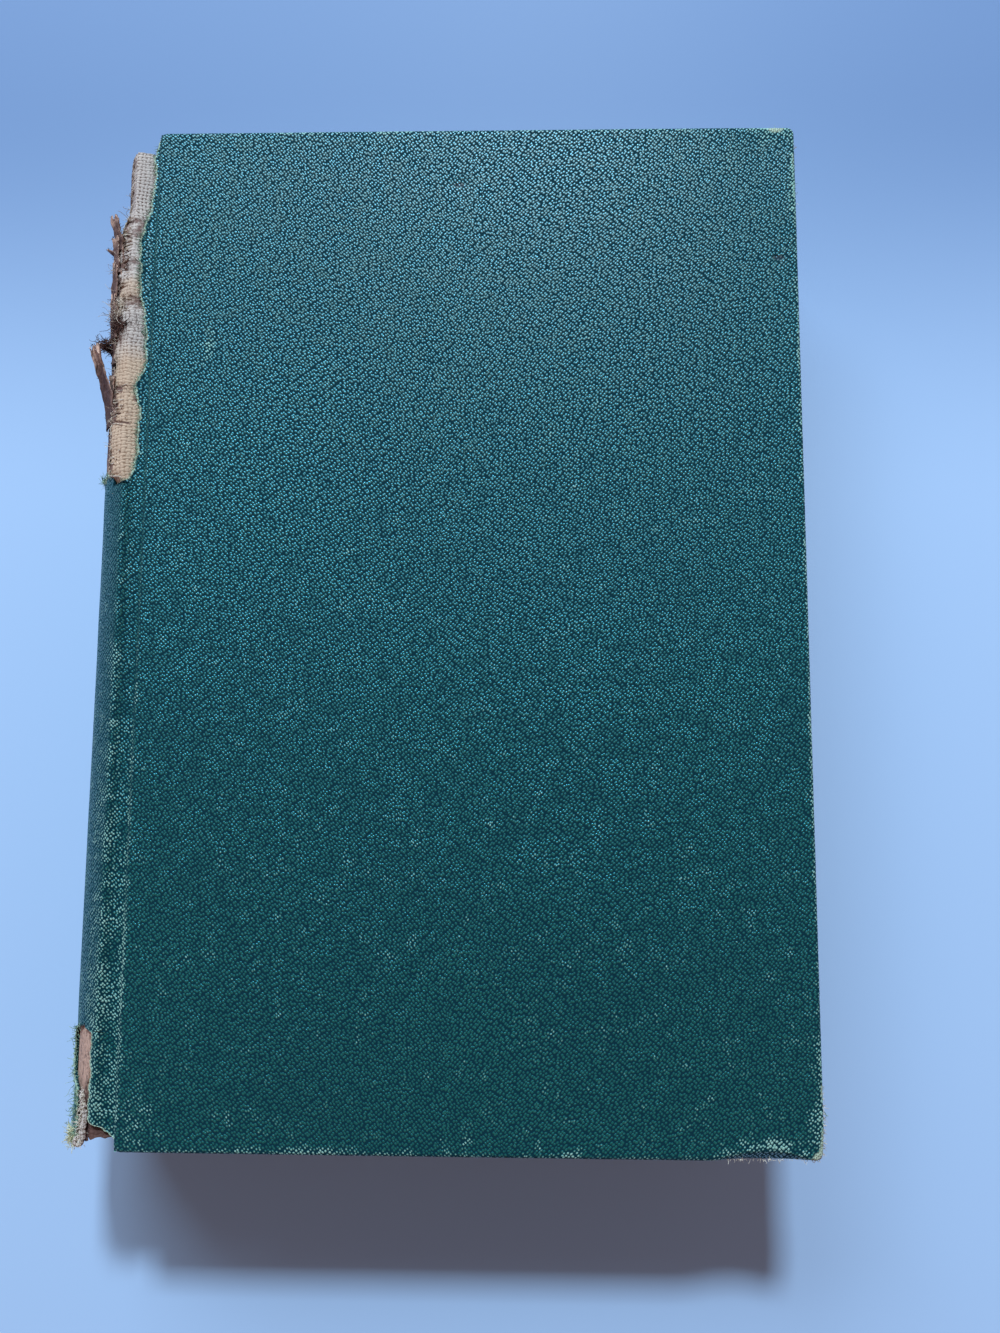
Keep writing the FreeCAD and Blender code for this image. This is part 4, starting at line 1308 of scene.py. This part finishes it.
def tufts(name, places, thickness, curl, seed, material):
    """Clumps of tangled fibres on the mull. Each place is a length, height, lift, half width,
    half height, number of fibres and fibre length; fibres start at normally scattered points."""
    rng = np.random.default_rng(seed)
    starts, ways, lengths = [], [], []
    for at, height, lift, wide, tall, count, long in places:
        run = at + rng.normal(0, wide, count)
        up = height + rng.normal(0, tall, count)
        raised = lift + mull_swell(run, up) + 0.5 * np.abs(rng.normal(0, lift + 0.2, count))
        starts.append(on_mull(run, TAIL + up, raised))
        ways.append(scattered(rng, count, 1, [-0.25, 0, 0.25]))
        lengths.append(long * rng.uniform(0.5, 1.5, count))
    starts, ways, lengths = (np.concatenate(parts) for parts in (starts, ways, lengths))
    make_threads(name, starts, ways, lengths, thickness, curl, seed + 1, material)


def torn_cloth_frays():
    """Short green fibres along the torn edge of the joint, the torn head of the spine cloth and
    the edge of its split."""
    rng = np.random.default_rng(311)
    count = 620
    height = rng.uniform(140.9, 221, count)
    x, depth = on_joint(joint_reach(TAIL + height, "front"))
    starts = np.stack([x + 0.1, TAIL + height, THICK - depth], axis=-1)
    ways = scattered(rng, count, 0.45, [-1.0, 0.0, 0.1])
    make_threads(
        "joint_edge_fibres", starts, ways, rng.uniform(0.3, 1.2, count), 0.13, 0.3, 312,
        loose_green,
    )
    count = 420
    angle = rng.uniform(-47, 48, count)
    head = read_off(angle, TORN_HEAD) - 0.3
    starts = on_spine(angle, TAIL + head, 0.1)
    ways = scattered(rng, count, 0.5, [0, 1.0, 0])
    make_threads(
        "spine_edge_fibres", starts, ways, rng.uniform(0.5, 1.8, count), 0.13, 0.3, 313,
        loose_green,
    )
    count = 260
    height = rng.uniform(0.3, SPLIT_TOP, count)
    angle = read_off(height, SPLIT_EDGE) - rng.uniform(0, 1.5, count)
    starts = on_spine(angle, TAIL + height, 0.25)
    ways = scattered(rng, count, 0.6, [0.2, 0, 0.6])
    make_threads(
        "split_edge_fibres", starts, ways, rng.uniform(0.4, 1.5, count), 0.15, 0.35, 314,
        loose_green,
    )


def flake_fibres():
    """Short brown fibres that stand out of the torn edges of the card's flakes."""
    rng = np.random.default_rng(371)
    count = 500
    starts = FLAKE_EDGES[rng.integers(0, len(FLAKE_EDGES), count)]
    ways = scattered(rng, count, 1, [-0.2, 0, 0.3])
    make_threads(
        "flake_edge_fibres", starts, ways, rng.uniform(0.2, 0.8, count), 0.16, 0.4, 372,
        loose_brown,
    )


flake_fibres()
crossing_threads()
tufts(
    "cotton_fringe",
    [(13.6, 160.0, 0.2, 0.5, 10.0, 170, 1.3), (14.0, 193.0, 0.2, 0.7, 6.0, 130, 1.9),
     (14.2, 177.5, 0.2, 0.7, 3.0, 60, 1.7), (15.4, 181.0, 0.5, 0.9, 1.0, 90, 1.8),
     (13.0, 207.0, 0.1, 0.8, 3.0, 26, 1.1)],
    0.16, 0.4, 321, loose_cotton,
)
tufts(
    "brown_tangle",
    [(16.2, 177.8, 0.4, 1.1, 0.8, 150, 1.5), (13.2, 175.0, 0.3, 0.5, 3.2, 110, 1.3),
     (13.0, 192.0, 0.2, 0.5, 4.5, 90, 1.4), (12.4, 173.9, 2.4, 0.4, 0.7, 240, 1.0),
     (13.0, 150.0, 0.1, 0.3, 6.0, 50, 0.9), (16.9, 193.0, 0.1, 0.25, 2.4, 40, 1.0)],
    0.17, 0.45, 331, loose_brown,
)
torn_cloth_frays()


# Tail of the spine: rolled mull in the split, its ring, and a pale tuft beside it
def make_rolled_mull():
    """A rolled cord of mull and the ring that ends it. The cord follows a line up the split and
    its radius swells and shrinks with fine noise; the ring is a circle facing outwards."""
    t = np.linspace(0, 1, 90)
    height = 1.9 + 9.6 * t
    angle = 49.5 + 0.9 * np.sin(5 * t) - 1.2 * t
    path = on_spine(angle, TAIL + height, 0.15 + 0.15 * np.sin(9 * t))
    radius = 0.62 + 0.10 * ragged(t * 9, 0.35, 341) + 0.08 * np.sin(t * 60) - 0.25 * t ** 6
    cord, cord_faces = tubes(path[None], radius[None], 12)
    turn = np.linspace(0, 2 * np.pi, 40)
    middle = on_spine(47.0, TAIL + 1.3, 0.55)
    across, along = np.cos(turn), np.sin(turn)
    ring = middle + np.stack([0.72 * across, 0.80 * along, -0.25 * across], axis=-1)
    wide = 0.36 + 0.05 * ragged(turn, 0.3, 342)
    loop, loop_faces = tubes(ring[None], wide[None], 10)
    points = np.concatenate([cord, loop])
    faces = np.concatenate([cord_faces, loop_faces + len(cord)])
    uv = np.column_stack([points[:, 0] * 1.6, points[:, 1]])
    masks = {"stain": np.full(len(points), 0.1), "brown": np.zeros(len(points))}
    piece = put_mesh("rolled_mull", points, faces, mull_cloth, {"UVMap": uv, **masks})
    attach(piece, "block")


def tail_frays():
    """Fibres on the rolled cord, the pale tuft at the spine's tail, and hairs of the torn cloth."""
    rng = np.random.default_rng(351)
    count = 170
    height = rng.uniform(1.0, 11.5, count)
    starts = on_spine(49.0 + rng.normal(0, 1.2, count), TAIL + height, 0.5)
    ways = scattered(rng, count, 1, [0, 0, 0.5])
    make_threads(
        "cord_fibres", starts, ways, rng.uniform(0.4, 1.2, count), 0.14, 0.45, 352,
        loose_cotton,
    )
    count = 260
    angle = rng.normal(33, 3.0, count)
    starts = on_spine(angle, TAIL + rng.normal(1.3, 0.8, count), rng.uniform(-0.3, 0.5, count))
    ways = scattered(rng, count, 1, [-0.5, -0.5, 0.4])
    make_threads(
        "tail_tuft", starts, ways, rng.uniform(0.6, 1.5, count), 0.17, 0.5, 353,
        loose_yellow,
    )
    count = 60
    starts = on_spine(rng.uniform(20, 42, count), TAIL + rng.uniform(0.5, 14, count), 0.1)
    ways = scattered(rng, count, 0.5, [-1, -0.3, 0.2])
    make_threads(
        "tail_hairs", starts, ways, rng.uniform(0.5, 1.9, count), 0.13, 0.4, 354,
        loose_green,
    )


make_rolled_mull()
tail_frays()


# Threads frayed from the front cover's corners: start, way, length
CORNER_THREADS = [
    ((78.9, -100.2, 36.6), (0.35, -0.9, 0.0), 4.4), ((79.2, -101.5, 36.2), (0.8, -0.5, 0.1), 2.6),
    ((79.0, -104.5, 36.8), (0.5, 0.7, 0.2), 2.0), ((79.1, -97.0, 36.6), (0.9, 0.3, 0.2), 1.4),
    ((79.2, 95.5, 36.6), (0.7, 0.6, 0.2), 1.5), ((79.2, 98.0, 36.8), (0.9, -0.2, 0.2), 1.1),
    ((78.6, 107.5, 37.2), (0.8, 0.5, 0.3), 1.0), ((75.0, 111.0, 37.2), (0.1, 1.0, 0.2), 0.8),
]
FIBRE_LEVEL = 36.9


def corner_frays():
    """Single threads from the table above, and short fibres along the fore-edge and the tail
    edge, thicker about both corners."""
    starts, ways, lengths = (np.array(part, float) for part in zip(*CORNER_THREADS))
    make_threads(
        "corner_threads", starts, ways, lengths, 0.16, 0.35, 361,
        loose_green, "front_cover",
    )
    rng = np.random.default_rng(362)
    count = 240
    at_edge = rng.random(count) < 0.65
    by_edge, by_tail = FORE_EDGE - rng.uniform(0, 0.4, count), rng.uniform(60, 79, count)
    x = np.where(at_edge, by_edge, by_tail)
    low = rng.random(count) < 0.8
    y = np.where(low, rng.normal(-104, 4.0, count), rng.normal(102, 6.0, count))
    side = x < FORE_EDGE - 0.45
    y = np.where(side & low, TAIL + 0.3, y)
    keep = ~(side & ~low) & (np.abs(y) < 110.6) | (side & low)
    x, y = x[keep], y[keep]
    starts = np.stack([x, y, np.full(len(x), FIBRE_LEVEL)], axis=-1)
    outer = x > FORE_EDGE - 0.5
    drift = np.stack([0.6 * outer, -0.6 * ~outer, np.full(len(x), 0.2)], axis=-1)
    ways = scattered(rng, len(x), 0.6, drift)
    make_threads(
        "corner_fibres", starts, ways, rng.uniform(0.25, 0.8, len(x)), 0.12, 0.4, 363,
        loose_cotton, "front_cover",
    )


corner_frays()


# Leaves
LEVELS = 150
FORE_HOLLOW = 4.0


def make_text_block():
    """The leaves as one solid. At each level, a fifth of a millimetre apart, a loop runs round
    the block: tail, fore-edge, head and back. Towards the shoulders the levels fan out as backed
    leaves do. Each level is drawn in by its own seeded amount, so that single leaves and whole
    sections stand proud or back."""
    shoulder = MULL_HIGH[0] - SHOULDER_RUN
    level = np.linspace(0, 1, LEVELS + 1)[:, None]
    flat_half = (BOARD_LOW[2] - 1.0 - (THICK - BOARD_LOW[2] + 1.0)) / 2
    peak_half = BLOCK_HIGH[2] - MIDDLE
    bow = shoulder - BLOCK_LOW[0]
    radius, fore_radius = arc_radius(peak_half, bow), arc_radius(flat_half, FORE_HOLLOW)
    z_back = (2 * level - 1) * peak_half
    back = BLOCK_LOW[0] + radius - np.sqrt(radius ** 2 - z_back ** 2)
    z_fore = (2 * level - 1) * flat_half
    fore = BLOCK_HIGH[0] - FORE_HOLLOW + fore_radius - np.sqrt(fore_radius ** 2 - z_fore ** 2)
    low, high = BLOCK_LOW[1], BLOCK_HIGH[1]
    across = np.concatenate([np.linspace(0, 0.08, 12), np.linspace(0.1, 1, 40)])[None]
    along = np.linspace(0, 1, 70)[None, 1:-1]
    row = level * LEVELS
    leaf = 0.5 * ragged(row, 1.0, 401) + 0.5 * ragged(row, 9.0, 402)
    x_across = back + (fore - back) * across
    tail_y = low + 0.16 * (1 + leaf) + 0.10 * smooth_noise(x_across, row, 18.0, 403)
    head_y = high - 0.16 * (1 - leaf) - 0.10 * smooth_noise(x_across, row, 18.0, 404)
    y_along = low + (high - low) * along + 0 * level
    fore_x = fore - 0.12 * (1 + ragged(row, 1.0, 405)) - 0.22 * (1 + ragged(row, 8.0, 406))
    fore_x = fore_x - 0.12 * smooth_noise(y_along, row, 14.0, 407)
    back_x = back + 0 * along
    x = np.concatenate([x_across, fore_x, x_across[:, ::-1], back_x], axis=1)
    y = np.concatenate([tail_y, y_along, head_y[:, ::-1], y_along[:, ::-1]], axis=1)
    fan = flat_half + (peak_half - flat_half) * ease(-x, -(shoulder + SHOULDER_RUN), -shoulder)
    z = MIDDLE + (2 * level - 1) * fan
    points = np.stack([x, y, z], axis=-1)
    rows, around = points.shape[:2]
    faces = grid_faces(rows, around, closed=True)
    count = across.shape[1]
    tail_row = np.arange(count)
    side = along.shape[1]
    head_row = count + side + np.arange(count)[::-1]
    cap = np.stack([tail_row[:-1], tail_row[1:], head_row[1:], head_row[:-1]], axis=-1)
    top = cap + (rows - 1) * around
    faces = np.concatenate([faces, top, cap[:, ::-1]])
    piece = put_mesh("leaves", points.reshape(-1, 3), faces, page_edges)
    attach(piece, "block")
    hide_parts("text_block")


make_text_block()


def make_front_board():
    """The front board: its upper face follows the cloth's rolled tail corner down, and its
    thickness shrinks by as much."""
    x = np.concatenate([np.linspace(BOARD_LOW[0], 56, 30), np.linspace(56.5, BOARD_HIGH[0], 46)])
    y = np.concatenate([np.linspace(BOARD_LOW[1], -105, 24), np.linspace(-104, BOARD_HIGH[1], 40)])
    x, y = np.meshgrid(x, y)
    round_off = spots(x, y, [(BOARD_HIGH[0], BOARD_LOW[1], 2.2, 2.2, 1.0)])
    drop = rolled_drop(x, y) + 0.22
    x = x - 0.9 * round_off
    y = y + 0.9 * round_off
    points = np.stack([x, y, BOARD_HIGH[2] - drop + 0.05 * smooth_noise(x, y, 2.0, 371)], axis=-1)
    piece = put_sheet("front_board_core", points, BOARD - drop, greyboard)
    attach(piece, "front_cover")
    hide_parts("front_board")


make_front_board()

# Carried-over pieces
for node, finish in (
    ("back_board", greyboard),
    ("front_pastedown", endpaper), ("back_pastedown", endpaper),
    ("front_flyleaf", endpaper), ("back_flyleaf", endpaper),
):
    slots = frame["nodes"][node].data.materials
    slots.clear()
    slots.append(finish)


# Floor, lamps and camera
def make_floor():
    """A pale, slightly glossy table top, painted darker towards the head's side as painted shade.
    """
    material, tree, surface = new_material("pale_table")
    place = add(tree, "SeparateXYZ", {0: add(tree, "TexCoord").outputs["Object"]})
    # Painted shade: the top's colour darkens towards the head's side.
    painted_shade_toward_head = spread(tree, place.outputs[1], 0.03, 0.15)
    tone = blend_colours(tree, painted_shade_toward_head, (0.41, 0.57, 0.82, 1.0), (0.171, 0.278, 0.49, 1.0))
    feed(tree, tone, surface["Base Color"])
    matt(surface, 0.5, 0.15)
    reach = 4000.0
    corners = reach * np.array([[-1, -1, 0], [1, -1, 0], [1, 1, 0], [-1, 1, 0]]) - [0, 0, 0.02]
    floor = put_mesh("floor", corners, np.array([[0, 1, 2, 3]]), material, smooth=False)


def make_lamp(name, azimuth, elevation, distance, size, power, tint):
    """A soft window-like lamp that faces the book: azimuth clockwise from the head's side."""
    data = bpy.data.lights.new(name, "AREA")
    data.shape = "RECTANGLE"
    data.size, data.size_y = size
    data.energy = power
    data.color = tint
    turn, lift = radians(azimuth), radians(elevation)
    way = Vector((np.sin(turn) * np.cos(lift), np.cos(turn) * np.cos(lift), np.sin(lift)))
    lamp = bpy.data.objects.new(name, data)
    lamp.location = way * distance
    lamp.rotation_euler = way.to_track_quat("Z", "Y").to_euler()
    bpy.context.scene.collection.objects.link(lamp)


def make_camera():
    """The photograph's own view: place and axes solved from the front cover's corners."""
    data = bpy.data.cameras.new("camera")
    data.sensor_fit = "VERTICAL"
    data.sensor_height = 36.0
    data.lens = 27.0
    data.clip_start = 0.01
    camera = bpy.data.objects.new("camera", data)
    axes = Matrix((
        (0.9997, -0.0026, 0.0242, 0.01886),
        (0.0053, 0.9935, -0.1140, -0.03565),
        (-0.0237, 0.1140, 0.9932, 0.24913),
        (0.0, 0.0, 0.0, 1.0),
    ))
    camera.matrix_world = axes
    bpy.context.scene.collection.objects.link(camera)
    bpy.context.scene.camera = camera


def make_world():
    """A room that is light and warm towards the horizon and dim overhead."""
    world = bpy.data.worlds.new("room")
    world.use_nodes = True
    tree = world.node_tree
    way = add(tree, "SeparateXYZ", {0: add(tree, "TexCoord").outputs["Generated"]})
    above = spread(tree, way.outputs[2], 0.25, 0.9)
    light = blend_colours(tree, above, (0.53, 0.345, 0.33, 1.0), (0.08, 0.09, 0.10, 1.0))
    feed(tree, light, tree.nodes["Background"].inputs["Color"])
    bpy.context.scene.world = world


make_floor()
make_lamp("window_lamp", 3, 44, 2.6, (0.35, 0.24), 69, (0.68, 0.86, 1.0))
make_lamp("side_window_lamp", -23, 34.5, 2.6, (1.4, 0.85), 38, (0.68, 0.86, 1.0))
make_camera()
make_world()
bpy.context.scene.view_settings.view_transform = "Standard"
